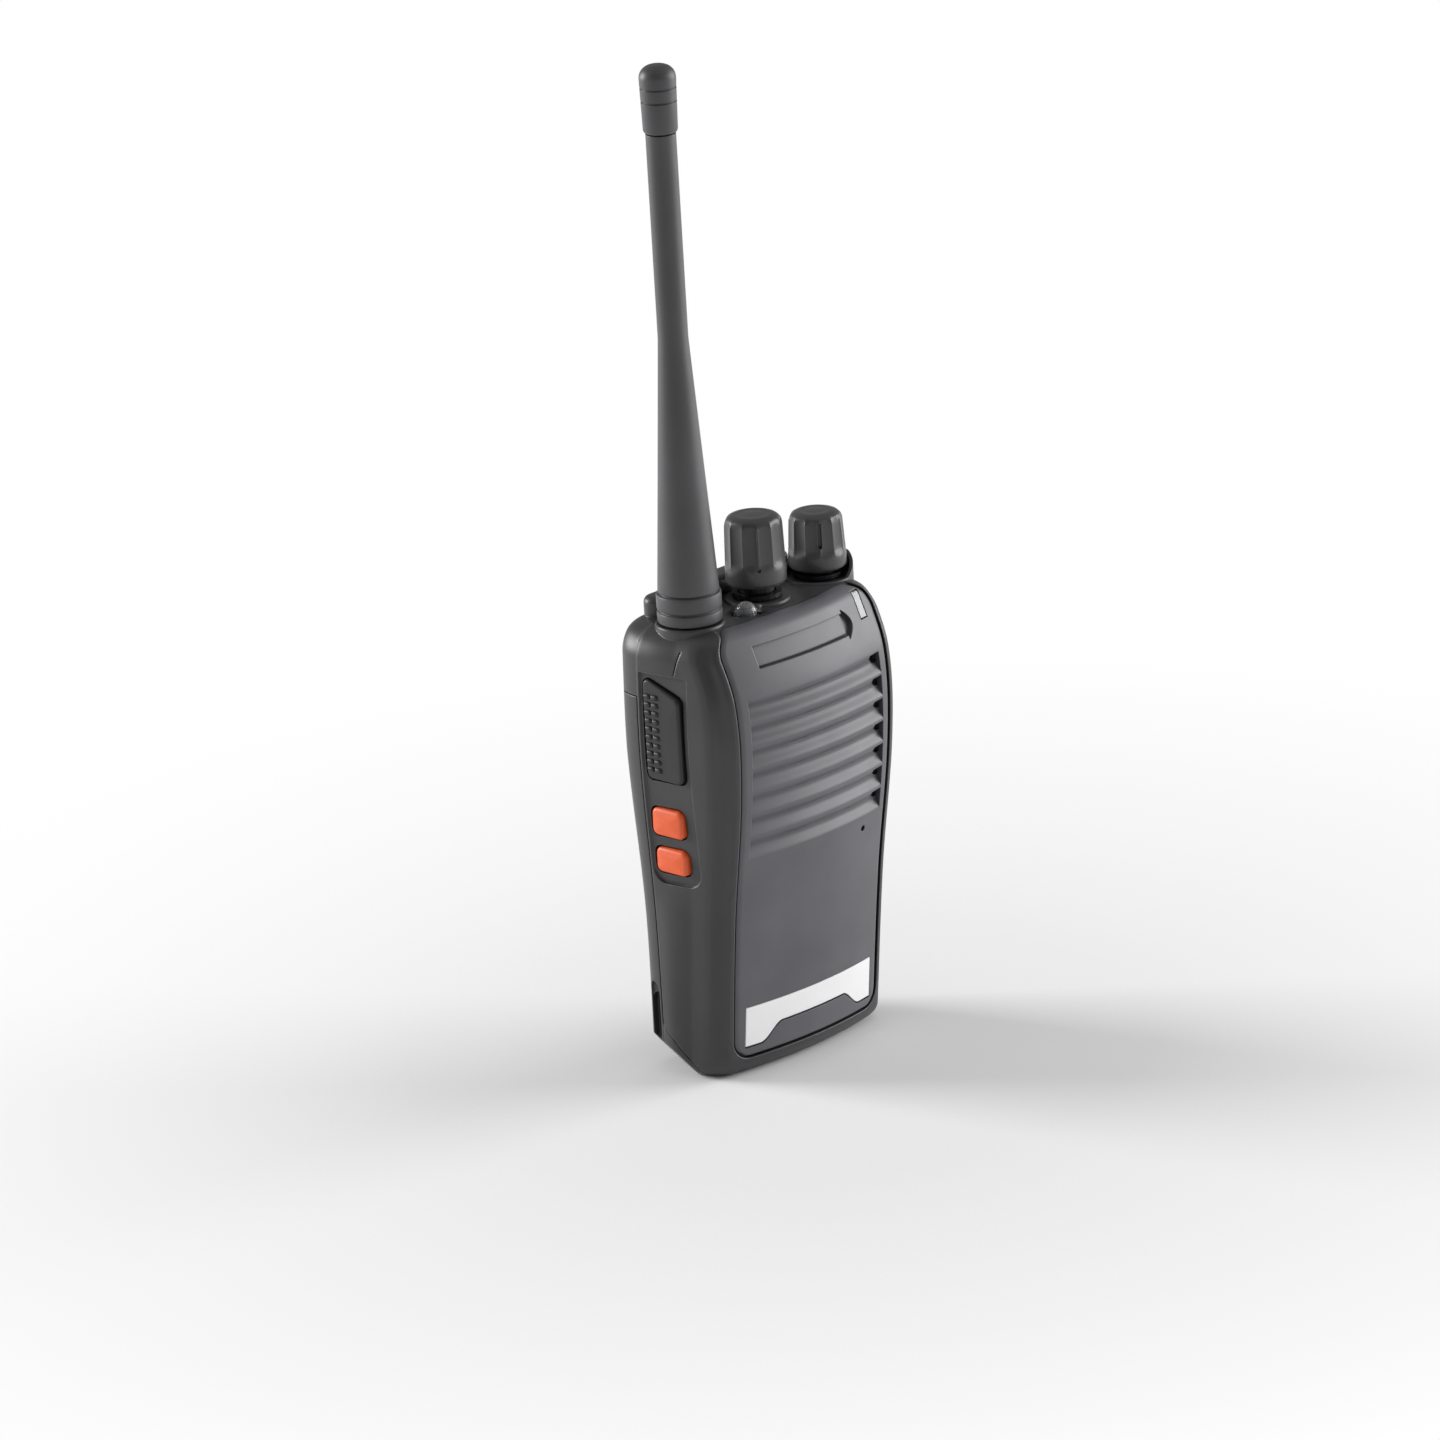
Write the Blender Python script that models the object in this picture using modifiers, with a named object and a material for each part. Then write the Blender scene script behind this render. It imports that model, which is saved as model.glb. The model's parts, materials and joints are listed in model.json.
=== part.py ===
"""Handheld two-way radio with a screw-on whip antenna and a slide-on battery pack.

The front of the radio faces -Y, its right side (as seen from the front) faces +X and +Z is up.
The origin lies on the standing face, below the middle of the body.
"""

import math

import bmesh
import bpy
from mathutils import Vector

MM = 0.001

# Body envelope: widths and front depths at a few heights, joined by smooth curves
BODY_HEIGHT = 101.0 * MM
SHOULDER_DROP = 28.0 * MM
WAIST_DROP = 65.0 * MM
FOOT_WIDTH = 56.4 * MM
WAIST_WIDTH = 57.0 * MM
SHOULDER_WIDTH = 60.6 * MM
TOP_WIDTH = 59.2 * MM
FOOT_FRONT = 9.4 * MM
WAIST_FRONT = 13.3 * MM
SPEAKER_FRONT = 17.9 * MM
BROW_FRONT = 17.9 * MM
TOP_FRONT = 12.6 * MM
BROW_DROP = 14.0 * MM
FOOT_BACK = 14.8 * MM
WAIST_BACK = 14.4 * MM
BACK_Y = 15.5 * MM
FRONT_BOW_RADIUS = 100.0 * MM
RIDGE_DEPTH = 9.8 * MM
RIDGE_INSET = 1.3 * MM
SEAM_Y = 8.0 * MM
SEAM_STEP = 0.5 * MM
BACK_CORNER = 6.5 * MM
FOOT_FILLET = 4.0 * MM
SHOULDER_ROUND = 6.4 * MM
TOP_FILLET = 2.2 * MM
WALL = 2.0 * MM
FRONT_WALL = 1.8 * MM
DECK_THICKNESS = 2.5 * MM

# Fits
GAP = 0.3 * MM
RUNNING_GAP = 0.35 * MM
CUT_MARGIN = 3.0 * MM

# Front panel and what is let into it
PANEL_WIDTH_FOOT = 44.0 * MM
PANEL_WIDTH_TOP = 46.8 * MM
PANEL_BOTTOM = 4.6 * MM
PANEL_FOOT_CORNER = 4.0 * MM
PANEL_TOP_CORNER = 5.6 * MM
PANEL_THICKNESS = 1.5 * MM
PANEL_GROOVE = 0.6 * MM
PANEL_RIM = 1.0 * MM
LOUVRE_COUNT = 7
LOUVRE_PITCH = 5.2 * MM
LOUVRE_DROP = 14.6 * MM
LOUVRE_HALF_LENGTH = 20.6 * MM
LOUVRE_HEIGHT = 3.0 * MM
LOUVRE_DEPTH = 1.0 * MM
SOUND_SLIT_HEIGHT = 0.7 * MM
SOUND_SLIT_HALF_LENGTH = 12.0 * MM
LABEL_HALF_WIDTH = 19.6 * MM
LABEL_BOTTOM = 6.9 * MM
LABEL_TOP = 15.9 * MM
LABEL_ARCH_HALF_WIDTH = 11.0 * MM
LABEL_ARCH_RAMP = 4.5 * MM
LABEL_ARCH_RISE = 4.4 * MM
LABEL_THICKNESS = 0.4 * MM
LABEL_RECESS = 0.7 * MM
BADGE_LEFT = -15.5 * MM
BADGE_RIGHT = 12.0 * MM
BADGE_DROP = 3.8 * MM
BADGE_HEIGHT = 4.6 * MM
BADGE_DEPTH = 0.7 * MM
BADGE_SLOT_WIDTH = 2.0 * MM
BADGE_SLOT_HEIGHT = 6.0 * MM
BADGE_SLOT_DEPTH = 1.1 * MM
MIC_X = 14.5 * MM
MIC_DROP = 53.0 * MM
MIC_HOLE_RADIUS = 0.7 * MM
MIC_PORT_RADIUS = 1.0 * MM
MIC_RADIUS = 3.0 * MM
MIC_LENGTH = 2.6 * MM
MIC_BOOT_WALL = 0.8 * MM
STATUS_X = 19.0 * MM
STATUS_LENGTH = 6.4 * MM
STATUS_WIDTH = 2.0 * MM
STATUS_DROP = 1.2 * MM

# Loudspeaker
SPEAKER_DROP = 34.0 * MM
SPEAKER_RADIUS = 18.0 * MM
SPEAKER_SEAT_RISE = 0.2 * MM
SPEAKER_SEAT_WIDTH = 1.8 * MM
SPEAKER_DEPTH = 6.0 * MM
SPEAKER_FLANGE = 1.0 * MM
MAGNET_RADIUS = 9.0 * MM
MAGNET_LENGTH = 3.2 * MM
CLOTH_THICKNESS = 0.4 * MM

# Top controls
CONTROL_Y = 1.0 * MM
ANTENNA_INSET = 10.3 * MM
CHANNEL_X = 1.6 * MM
VOLUME_INSET = 8.7 * MM
CHANNEL_KNOB_LIFT = 3.9 * MM
CHANNEL_KNOB_RADIUS = 6.6 * MM
CHANNEL_KNOB_TOP_RADIUS = 6.2 * MM
CHANNEL_KNOB_HEIGHT = 15.3 * MM
VOLUME_KNOB_LIFT = 2.3 * MM
VOLUME_KNOB_RADIUS = 6.3 * MM
VOLUME_KNOB_TOP_RADIUS = 5.7 * MM
VOLUME_KNOB_HEIGHT = 12.6 * MM
KNOB_FLUTES = 10
KNOB_FLUTE_DEPTH = 0.3 * MM
POINTER_WIDTH = 0.9 * MM
POINTER_DEPTH = 1.1 * MM
POINTER_TURN = math.radians(54)
SHAFT_RADIUS = 2.9 * MM
SHAFT_GRIP = 9.0 * MM
BUSH_RADIUS = 3.9 * MM
NUT_RADIUS = 5.4 * MM
NUT_HEIGHT = 1.0 * MM
CHANNEL_BOSS_RADIUS = 7.2 * MM
CHANNEL_BOSS_RISE = 0.6 * MM
CONTROL_BODY_WIDTH = 7.8 * MM
CONTROL_BODY_HEIGHT = 8.0 * MM
CROWN_HEIGHT = 4.3 * MM
CROWN_INSET = 8.3 * MM
CROWN_FRONT_Y = 8.4 * MM
CROWN_CORNER = 3.0 * MM
COLLAR_RADIUS = 7.6 * MM
COLLAR_WALL = 0.8 * MM
COLLAR_BACK_RISE = 4.2 * MM
COLLAR_FRONT_RISE = 0.3 * MM
COLLAR_TURN = math.radians(60)
TORCH_SHIFT = 2.0 * MM
TORCH_Y = -3.6 * MM
TORCH_RADIUS = 2.1 * MM
TORCH_RISE = 2.0 * MM
TORCH_WELL_RADIUS = 3.9 * MM
TORCH_WELL_DEPTH = 0.9 * MM
BEZEL_WALL = 0.5 * MM

# Antenna
ANTENNA_BOSS_RADIUS = 7.5 * MM
ANTENNA_BOSS_RISE = 0.6 * MM
ANTENNA_LENGTH = 122.0 * MM
ANTENNA_BASE_RADIUS = 6.6 * MM
ANTENNA_WHIP_RADIUS = 3.25 * MM
ANTENNA_SKIRT = 6.5 * MM
ANTENNA_SKIRT_RADIUS = 7.0 * MM
ANTENNA_TAPER = 56.0 * MM
ANTENNA_TIP_LENGTH = 14.6 * MM
ANTENNA_TIP_RADIUS = 3.95 * MM
ANTENNA_TIP_FOOT_RADIUS = 3.7 * MM
ANTENNA_TIP_RINGS = (4.9 * MM, 7.8 * MM)
ANTENNA_BORE_RADIUS = 1.3 * MM
ANTENNA_GROOVE = 0.5 * MM
SOCKET_RADIUS = 3.1 * MM
SOCKET_RISE = 7.5 * MM
SOCKET_PIN_RADIUS = 1.0 * MM
FERRULE_WALL = 1.0 * MM
FERRULE_LENGTH = 9.0 * MM

# Side keys on the left
KEY_WIDTH = 10.4 * MM
KEY_Y = 1.0 * MM
KEY_TRAVEL = 0.7 * MM
KEY_PROUD = 0.5 * MM
KEY_CORNER = 1.6 * MM
KEY_RIM = 0.5 * MM
PTT_DROP = 9.6 * MM
PTT_HEIGHT = 23.2 * MM
PTT_TOP_FALL = 4.2 * MM
PTT_TRAVEL = 1.0 * MM
SMALL_KEY_TRIM = 1.4 * MM
UPPER_KEY_DROP = 45.6 * MM
UPPER_KEY_HEIGHT = 6.4 * MM
LOWER_KEY_DROP = 54.1 * MM
LOWER_KEY_HEIGHT = 5.8 * MM
KEY_FLANGE = 1.0 * MM
SWITCH_SIZE = 4.0 * MM
SWITCH_DEPTH = 1.6 * MM
KEY_BOARD_THICKNESS = 1.0 * MM
WELL_FOOT_MARGIN = 2.5 * MM
WELL_MARGIN = 0.6 * MM
WELL_FRONT_MARGIN = 1.4 * MM
WELL_DEPTH = 0.8 * MM

# Accessory socket on the right
JACK_DROP = 25.0 * MM
JACK_SPACING = 11.0 * MM
JACK_BIG_RADIUS = 1.75 * MM
JACK_SMALL_RADIUS = 1.25 * MM
JACK_BLOCK_WIDTH = 7.0 * MM
JACK_BLOCK_HEIGHT = 19.0 * MM
COVER_WIDTH = 10.0 * MM
COVER_HEIGHT = 24.0 * MM
COVER_THICKNESS = 1.3 * MM
COVER_CORNER = 2.5 * MM
COVER_PROUD = 0.3 * MM

# Chassis and boards
CHASSIS_BACK_Y = 4.6 * MM
CHASSIS_THICKNESS = 2.4 * MM
CHASSIS_BOTTOM = 19.0 * MM
CHASSIS_DROP = 1.4 * MM
BOARD_THICKNESS = 1.2 * MM
BOARD_HALF_WIDTH = 17.0 * MM
BOARD_BOTTOM = 21.0 * MM
BOARD_DROP = 8.0 * MM
BOARD_STAND = 2.0 * MM
SHIELD_HEIGHT = 2.6 * MM
POST_RADIUS = 2.3 * MM
POST_X = 20.0 * MM
POST_TOP_X = 16.0 * MM
POST_LOW_Z = 24.0 * MM
POST_DROP = 4.3 * MM
SCREW_RADIUS = 0.9 * MM
SCREW_HEAD_RADIUS = 1.7 * MM
SCREW_HEAD_HEIGHT = 1.0 * MM
SCREW_LENGTH = 6.0 * MM
DRIVE_SLOT = 0.5 * MM

# Battery pack
PACK_DROP = 15.0 * MM
PACK_WALL = 1.6 * MM
PACK_LID_THICKNESS = 1.3 * MM
PACK_TRAY_FRONT_Y = 5.2 * MM
PACK_TRAY_HALF_WIDTH = 22.0 * MM
PACK_TRAY_CORNER = 3.0 * MM
PACK_TRAY_MARGIN = 3.0 * MM
PACK_CAVITY_BOTTOM = 18.0 * MM
PACK_TOE_Z = 11.3 * MM
PACK_KNEE_Y = 4.3 * MM
PACK_KNEE_Z = 8.6 * MM
PACK_TOE_Y = -2.2 * MM
PACK_HEEL_Y = 8.0 * MM
PACK_HEEL_Z = 5.0 * MM
PACK_CORNER_TOE_X = 26.2 * MM
PACK_CORNER_BACK_X = 18.0 * MM
PACK_CORNER_SLOPE = 1.1
RAIL_X = 13.0 * MM
RAIL_WIDTH = 3.0 * MM
RAIL_BOTTOM = 34.0 * MM
RAIL_TOP = 52.0 * MM
LATCH_WIDTH = 9.0 * MM
LATCH_FRONT_Y = -4.5 * MM
LATCH_BACK_Y = -2.4 * MM
LATCH_REACH_Y = 0.8 * MM
LATCH_RECESS = 0.4 * MM
LATCH_TOP = 2.8 * MM
LATCH_TONGUE = 5.0 * MM
LATCH_TONGUE_Z = 1.3 * MM
LATCH_TRAVEL = 2.0 * MM
LATCH_LAP = 1.2 * MM
LATCH_NOTCH_RISE = 5.0 * MM
CELL_WIDTH = 38.0 * MM
BATTERY_BOARD_HEIGHT = 7.9 * MM
CELL_CORNER = 1.5 * MM
DOCK_GROOVE_WIDTH = 2.6 * MM
DOCK_GROOVE_DEPTH = 1.4 * MM
DOCK_GROOVE_TOP = 20.4 * MM
DOCK_GROOVE_Y = 9.2 * MM
TERMINAL_X = 6.0 * MM
TERMINAL_DROP = 23.0 * MM
TERMINAL_WIDTH = 4.0 * MM
TERMINAL_HEIGHT = 6.0 * MM
CHARGE_X = 9.0 * MM
CHARGE_Z = 14.0 * MM
CHARGE_RADIUS = 2.4 * MM
CLIP_X = 11.0 * MM
CLIP_DROP = 7.0 * MM
INSERT_RADIUS = 2.3 * MM
INSERT_BORE = 1.25 * MM

# Facets
ROUND_SIDES = 24
INNER_SIDES = 16
SMALL_SIDES = 10
SMOOTH_ANGLE = math.radians(35)
RIM_ANGLE = math.radians(60)

MATERIALS = {
    "case_black": ((0.028, 0.028, 0.030), 0.45, 0.0),
    "panel_grey": ((0.105, 0.105, 0.115), 0.50, 0.0),
    "label_white": ((0.86, 0.86, 0.86), 0.40, 0.0),
    "knob_black": ((0.035, 0.035, 0.037), 0.42, 0.0),
    "antenna_rubber": ((0.075, 0.075, 0.078), 0.60, 0.0),
    "key_rubber": ((0.022, 0.022, 0.024), 0.65, 0.0),
    "key_orange": ((0.86, 0.12, 0.02), 0.45, 0.0),
    "clear_lens": ((0.85, 0.87, 0.88), 0.12, 0.0),
    "bright_metal": ((0.72, 0.72, 0.70), 0.25, 1.0),
    "gold_metal": ((0.80, 0.58, 0.22), 0.28, 1.0),
    "cast_metal": ((0.55, 0.56, 0.57), 0.45, 1.0),
    "board_green": ((0.03, 0.16, 0.07), 0.50, 0.0),
    "cell_blue": ((0.05, 0.14, 0.40), 0.40, 0.0),
    "cloth_black": ((0.012, 0.012, 0.012), 0.90, 0.0),
}


def clear_scene():
    for obj in list(bpy.data.objects):
        bpy.data.objects.remove(obj)


def new_collection(name):
    collection = bpy.data.collections.new(name)
    bpy.context.scene.collection.children.link(collection)
    return collection


def make_material(name):
    colour, roughness, metallic = MATERIALS[name]
    material = bpy.data.materials.new(name)
    material.use_nodes = True
    shader = material.node_tree.nodes["Principled BSDF"]
    shader.inputs["Base Color"].default_value = (*colour, 1.0)
    shader.inputs["Roughness"].default_value = roughness
    shader.inputs["Metallic"].default_value = metallic
    return material


def material_named(name):
    return bpy.data.materials.get(name) or make_material(name)


clear_scene()
PARTS = new_collection("handheld_radio")
CUTTERS = new_collection("cutters")


# Builders of simple solids

def finish(name, bm, material):
    bm.normal_update()
    bmesh.ops.recalc_face_normals(bm, faces=bm.faces)
    mesh = bpy.data.meshes.new(name)
    bm.to_mesh(mesh)
    bm.free()
    mesh.shade_smooth()
    mesh.set_sharp_from_angle(angle=SMOOTH_ANGLE)
    return place(name, mesh, material)


def place(name, mesh, material):
    obj = bpy.data.objects.new(name, mesh)
    if material:
        mesh.materials.append(material_named(material))
        PARTS.objects.link(obj)
    else:
        obj.hide_render = True
        obj.display_type = "WIRE"
        CUTTERS.objects.link(obj)
    return obj


def loft(name, rings, material=None):
    """A solid through closed rings of equal count, capped flat at both ends."""
    bm = bmesh.new()
    rows = [[bm.verts.new(point) for point in ring] for ring in rings]
    count = len(rows[0])
    for lower, upper in zip(rows, rows[1:]):
        for i in range(count):
            j = (i + 1) % count
            bm.faces.new((lower[i], lower[j], upper[j], upper[i]))
    bmesh.ops.triangulate(bm, faces=bm.faces)
    bm.faces.new(rows[0])
    bm.faces.new(rows[-1])
    return finish(name, bm, material)


def box(name, low, high, material=None):
    bm = bmesh.new()
    bmesh.ops.create_cube(bm, size=1.0)
    size = Vector(high) - Vector(low)
    bmesh.ops.scale(bm, vec=size, verts=bm.verts)
    bmesh.ops.translate(bm, vec=Vector(low) + size / 2, verts=bm.verts)
    return finish(name, bm, material)


def turn_to_axis(bm, axis):
    """Carries local (u, v, along) onto X as (along, u, v), onto Y as (u, along, v); Z stays."""
    for vertex in bm.verts:
        u, v, along = vertex.co
        vertex.co = {"X": (along, u, v), "Y": (u, along, v), "Z": (u, v, along)}[axis]


def prism(name, outline, axis, low, high, material=None):
    """A flat outline, drawn as a filled curve, pushed along an axis."""
    curve = bpy.data.curves.new(name, "CURVE")
    curve.dimensions = "2D"
    curve.fill_mode = "BOTH"
    curve.extrude = (high - low) / 2
    spline = curve.splines.new("POLY")
    spline.points.add(len(outline) - 1)
    for point, (u, v) in zip(spline.points, outline):
        point.co = (u, v, 0.0, 1.0)
    spline.use_cyclic_u = True
    guide = bpy.data.objects.new(name, curve)
    bm = bmesh.new()
    bm.from_mesh(bpy.data.meshes.new_from_object(guide))
    bpy.data.objects.remove(guide)
    bmesh.ops.remove_doubles(bm, verts=bm.verts, dist=1e-6)
    bmesh.ops.translate(bm, vec=(0.0, 0.0, (low + high) / 2), verts=bm.verts)
    turn_to_axis(bm, axis)
    return finish(name, bm, material)


def rod(name, axis, centre, radius, low, high, material=None, count=ROUND_SIDES):
    """A round bar between two places along an axis."""
    bm = bmesh.new()
    size = {"radius1": radius, "radius2": radius, "depth": high - low}
    bmesh.ops.create_cone(bm, cap_ends=True, segments=count, **size)
    bmesh.ops.translate(bm, vec=(*centre, (low + high) / 2), verts=bm.verts)
    turn_to_axis(bm, axis)
    return finish(name, bm, material)


def peg(name, axis, centre, radius, low, high):
    """A small round cutter or stud."""
    return rod(name, axis, centre, radius, low, high, None, SMALL_SIDES)


def turned(name, profile, location, axis="Z", material=None, steps=ROUND_SIDES, closed=False):
    """A profile of (radius, height) points, listed down the outer side, turned about an axis."""
    mesh = bpy.data.meshes.new(name)
    edges = [(i, i + 1) for i in range(len(profile) - 1)]
    if closed:
        edges.append((len(profile) - 1, 0))
    mesh.from_pydata([(radius, 0.0, height) for radius, height in profile], edges, [])
    obj = place(name, mesh, material)
    obj.location = location
    obj.rotation_euler = {"Z": (0, 0, 0), "Y": (math.pi / 2, 0, 0), "X": (0, math.pi / 2, 0)}[axis]
    screw = obj.modifiers.new("Turn", "SCREW")
    screw.steps = steps
    screw.render_steps = steps
    screw.use_merge_vertices = True
    screw.merge_threshold = 1e-6
    screw.use_smooth_shade = False
    return obj


def combine(target, operation, others):
    for other in others:
        modifier = target.modifiers.new(other.name, "BOOLEAN")
        modifier.operation = operation
        modifier.solver = "EXACT"
        modifier.object = other
    return target


def cut(target, *others):
    return combine(target, "DIFFERENCE", others)


def fuse(target, *others):
    return combine(target, "UNION", others)


def keep_inside(target, *others):
    return combine(target, "INTERSECT", others)


def rounded(points, radius, steps=4):
    """An outline with each corner replaced by an arc of the given radius."""
    outline = []
    count = len(points)
    for i, corner in enumerate(points):
        here = Vector(corner)
        before = (Vector(points[i - 1]) - here).normalized()
        after = (Vector(points[(i + 1) % count]) - here).normalized()
        half = before.angle(after) / 2
        centre = here + (before + after).normalized() * radius / math.sin(half)
        start = here + before * radius / math.tan(half) - centre
        end = here + after * radius / math.tan(half) - centre
        sweep = math.atan2(start.x * end.y - start.y * end.x, start.dot(end))
        for k in range(steps + 1):
            turn = sweep * k / steps
            cos, sin = math.cos(turn), math.sin(turn)
            outline.append((
                centre.x + start.x * cos - start.y * sin,
                centre.y + start.x * sin + start.y * cos,
            ))
    return outline


def rectangle(low_u, high_u, low_v, high_v):
    return [(low_u, low_v), (high_u, low_v), (high_u, high_v), (low_u, high_v)]


# The body's outer form

def smooth_through(stations, z):
    """A smooth curve through (height, value) stations, read at one height."""
    heights = [s[0] for s in stations]
    values = [s[1] for s in stations]
    slopes = []
    for i in range(len(stations)):
        a, b = max(i - 1, 0), min(i + 1, len(stations) - 1)
        slopes.append((values[b] - values[a]) / (heights[b] - heights[a]))
    z = min(max(z, heights[0]), heights[-1])
    i = max(k for k in range(len(stations) - 1) if heights[k] <= z)
    span = heights[i + 1] - heights[i]
    t = (z - heights[i]) / span
    rise = t * t * (3 - 2 * t)
    leave = t * (1 - t) ** 2 * span * slopes[i]
    arrive = t * t * (t - 1) * span * slopes[i + 1]
    return values[i] + (values[i + 1] - values[i]) * rise + leave + arrive


def half_width(z):
    stations = (
        (0.0, FOOT_WIDTH / 2),
        (WAIST_Z, WAIST_WIDTH / 2),
        (SHOULDER_Z, SHOULDER_WIDTH / 2),
        (BODY_HEIGHT, TOP_WIDTH / 2),
    )
    return smooth_through(stations, z)


def front_middle(z):
    stations = (
        (0.0, -FOOT_FRONT),
        (WAIST_Z, -WAIST_FRONT),
        (SPEAKER_Z, -SPEAKER_FRONT),
        (BROW_Z, -BROW_FRONT),
        (BODY_HEIGHT, -TOP_FRONT),
    )
    return smooth_through(stations, z)


def back_y(z):
    stations = ((0.0, FOOT_BACK), (WAIST_Z, WAIST_BACK), (SHOULDER_Z, BACK_Y))
    return smooth_through(stations, z)


def ridge_y(z):
    """The edge between the flat of the side and the cheek that runs on to the front."""
    return front_middle(z) + RIDGE_DEPTH


def front_y(x, z):
    """The bowed front, with the round of its upper edge."""
    edge = fillet_inset(BODY_HEIGHT - z, TOP_FILLET)
    return front_middle(z) + x * x / (2 * FRONT_BOW_RADIUS) + edge


def panel_half_width(z):
    share = z / BODY_HEIGHT
    return (PANEL_WIDTH_FOOT + (PANEL_WIDTH_TOP - PANEL_WIDTH_FOOT) * share) / 2


def fillet_inset(distance, radius):
    """How far a rounded edge has drawn in at a distance below the end of its arc."""
    reach = min(max(radius - distance, 0.0), radius)
    return radius - math.sqrt(radius * radius - reach * reach)


def bezier(start, middle, end, steps):
    """Points of a curved corner, without its last point."""
    points = []
    for i in range(steps):
        t = i / steps
        weights = ((1 - t) ** 2, 2 * t * (1 - t), t * t)
        points.append(tuple(sum(w * p[k] for w, p in zip(weights, (start, middle, end))) for k in (0, 1)))
    return points


def section(z, inset=0.0, front_inset=0.0):
    """The ring of (x, y) points round the body at one height, drawn in by inset."""
    top = fillet_inset(BODY_HEIGHT - z, SHOULDER_ROUND)
    edge = fillet_inset(BODY_HEIGHT - z, TOP_FILLET)
    foot = fillet_inset(z, FOOT_FILLET)
    side = half_width(z) - top - foot - inset
    front = front_middle(z) + edge + foot + inset + front_inset
    back = back_y(z) - edge - foot - inset
    rim_x = panel_half_width(z) + PANEL_GROOVE + PANEL_RIM - top - foot - inset
    rim_y = front + rim_x * rim_x / (2 * FRONT_BOW_RADIUS)
    ridge = (side - RIDGE_INSET, ridge_y(z))
    front_steps = 5
    right = [(rim_x * i / front_steps, front + (rim_x * i / front_steps) ** 2 / (2 * FRONT_BOW_RADIUS))
             for i in range(front_steps)]
    cheek = (ridge[0] - RIDGE_INSET / 3, rim_y + (ridge[1] - rim_y) * 0.35)
    right += bezier((rim_x, rim_y), cheek, ridge, 4)
    right += [ridge, (side, SEAM_Y - SEAM_STEP)]
    rear = side - SEAM_STEP
    right += bezier((rear, SEAM_Y), (rear - SEAM_STEP, back), (side - BACK_CORNER, back), 4)
    right += [(side - BACK_CORNER, back), (0.0, back)]
    left = [(-x, y) for x, y in reversed(right[1:-1])]
    return right + left


def body_levels():
    foot = [FOOT_FILLET * s for s in (0.0, 0.12, 0.4, 1.0)]
    middle_count = 8
    middle = spread(FOOT_FILLET, SHOULDER_Z, middle_count + 1)[1:]
    brow = [BROW_Z, BROW_Z + (BODY_HEIGHT - SHOULDER_ROUND - BROW_Z) / 2]
    top = [BODY_HEIGHT - SHOULDER_ROUND * s for s in (1.0, 0.6, 0.34, 0.16, 0.05, 0.0)]
    return foot + middle + brow + top


def body_rings(inset=0.0, front_inset=0.0, low=None, high=None):
    levels = body_levels()
    if low is not None:
        levels = [low] + [z for z in levels if low < z < high] + [high]
    return [[(x, y, z) for x, y in section(z, inset, front_inset)] for z in levels]


def surface_plate(name, grid, front, back, material=None):
    """A plate that follows the bowed front, from a grid of (x, z) rows, between two depths behind it."""
    bm = bmesh.new()
    near = [[bm.verts.new((x, front_y(x, z) + front, z)) for x, z in row] for row in grid]
    far = [[bm.verts.new((x, front_y(x, z) + back, z)) for x, z in row] for row in grid]
    rows, columns = len(grid), len(grid[0])
    for sheet in (near, far):
        for i in range(rows - 1):
            for j in range(columns - 1):
                bm.faces.new((sheet[i][j], sheet[i][j + 1], sheet[i + 1][j + 1], sheet[i + 1][j]))
    edge = [(0, j) for j in range(columns)]
    edge += [(i, columns - 1) for i in range(1, rows)]
    edge += [(rows - 1, j) for j in range(columns - 2, -1, -1)]
    edge += [(i, 0) for i in range(rows - 2, 0, -1)]
    for (a, b), (c, d) in zip(edge, edge[1:] + edge[:1]):
        bm.faces.new((near[a][b], near[c][d], far[c][d], far[a][b]))
    return finish(name, bm, material)


def spread(low, high, count):
    return [low + (high - low) * i / (count - 1) for i in range(count)]


def panel_grid(grow=0.0):
    """Rows of the front panel's outline, with round corners, grown outward by a margin."""
    low, high = PANEL_BOTTOM - grow, BODY_HEIGHT + grow
    foot, top = PANEL_FOOT_CORNER + grow, PANEL_TOP_CORNER + grow
    levels = [low + foot * s for s in (0.0, 0.15, 0.5, 1.0)]
    levels += spread(low + foot, BODY_HEIGHT - PANEL_TOP_CORNER, 11)[1:]
    levels += [BODY_HEIGHT - PANEL_TOP_CORNER * s for s in (0.6, 0.38, 0.18, 0.06, 0.0)]
    if grow:
        levels.append(high)
    grid = []
    for z in levels:
        half = panel_half_width(z) + grow
        half -= fillet_inset(z - low, foot) + fillet_inset(high - z, top)
        grid.append([(half * s, z) for s in spread(-1.0, 1.0, 9)])
    return grid


def rectangle_grid(left, right, bottom, top, columns, rows=2):
    return [[(x, z) for x in spread(left, right, columns)] for z in spread(bottom, top, rows)]


def pivot(obj, point):
    """Moves an object's origin to a point of its joint axis without moving its shape."""
    shift = Vector(point)
    for vertex in obj.data.vertices:
        vertex.co -= shift
    obj.location = shift
    return obj


# Heights, places and depths that follow from the driving sizes

SHOULDER_Z = BODY_HEIGHT - SHOULDER_DROP
WAIST_Z = BODY_HEIGHT - WAIST_DROP
BROW_Z = BODY_HEIGHT - BROW_DROP
LOUVRE_TOP_Z = BODY_HEIGHT - LOUVRE_DROP
BADGE_TOP = BODY_HEIGHT - BADGE_DROP
BADGE_BOTTOM = BADGE_TOP - BADGE_HEIGHT
STATUS_BOTTOM = BODY_HEIGHT - STATUS_LENGTH
STATUS_TOP = BODY_HEIGHT - STATUS_DROP
SPEAKER_Z = BODY_HEIGHT - SPEAKER_DROP
MIC_Z = BODY_HEIGHT - MIC_DROP
ANTENNA_X = ANTENNA_INSET - TOP_WIDTH / 2
VOLUME_X = TOP_WIDTH / 2 - VOLUME_INSET
TORCH_X = (ANTENNA_X + CHANNEL_X) / 2 + TORCH_SHIFT
PTT_TOP = BODY_HEIGHT - PTT_DROP
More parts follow.
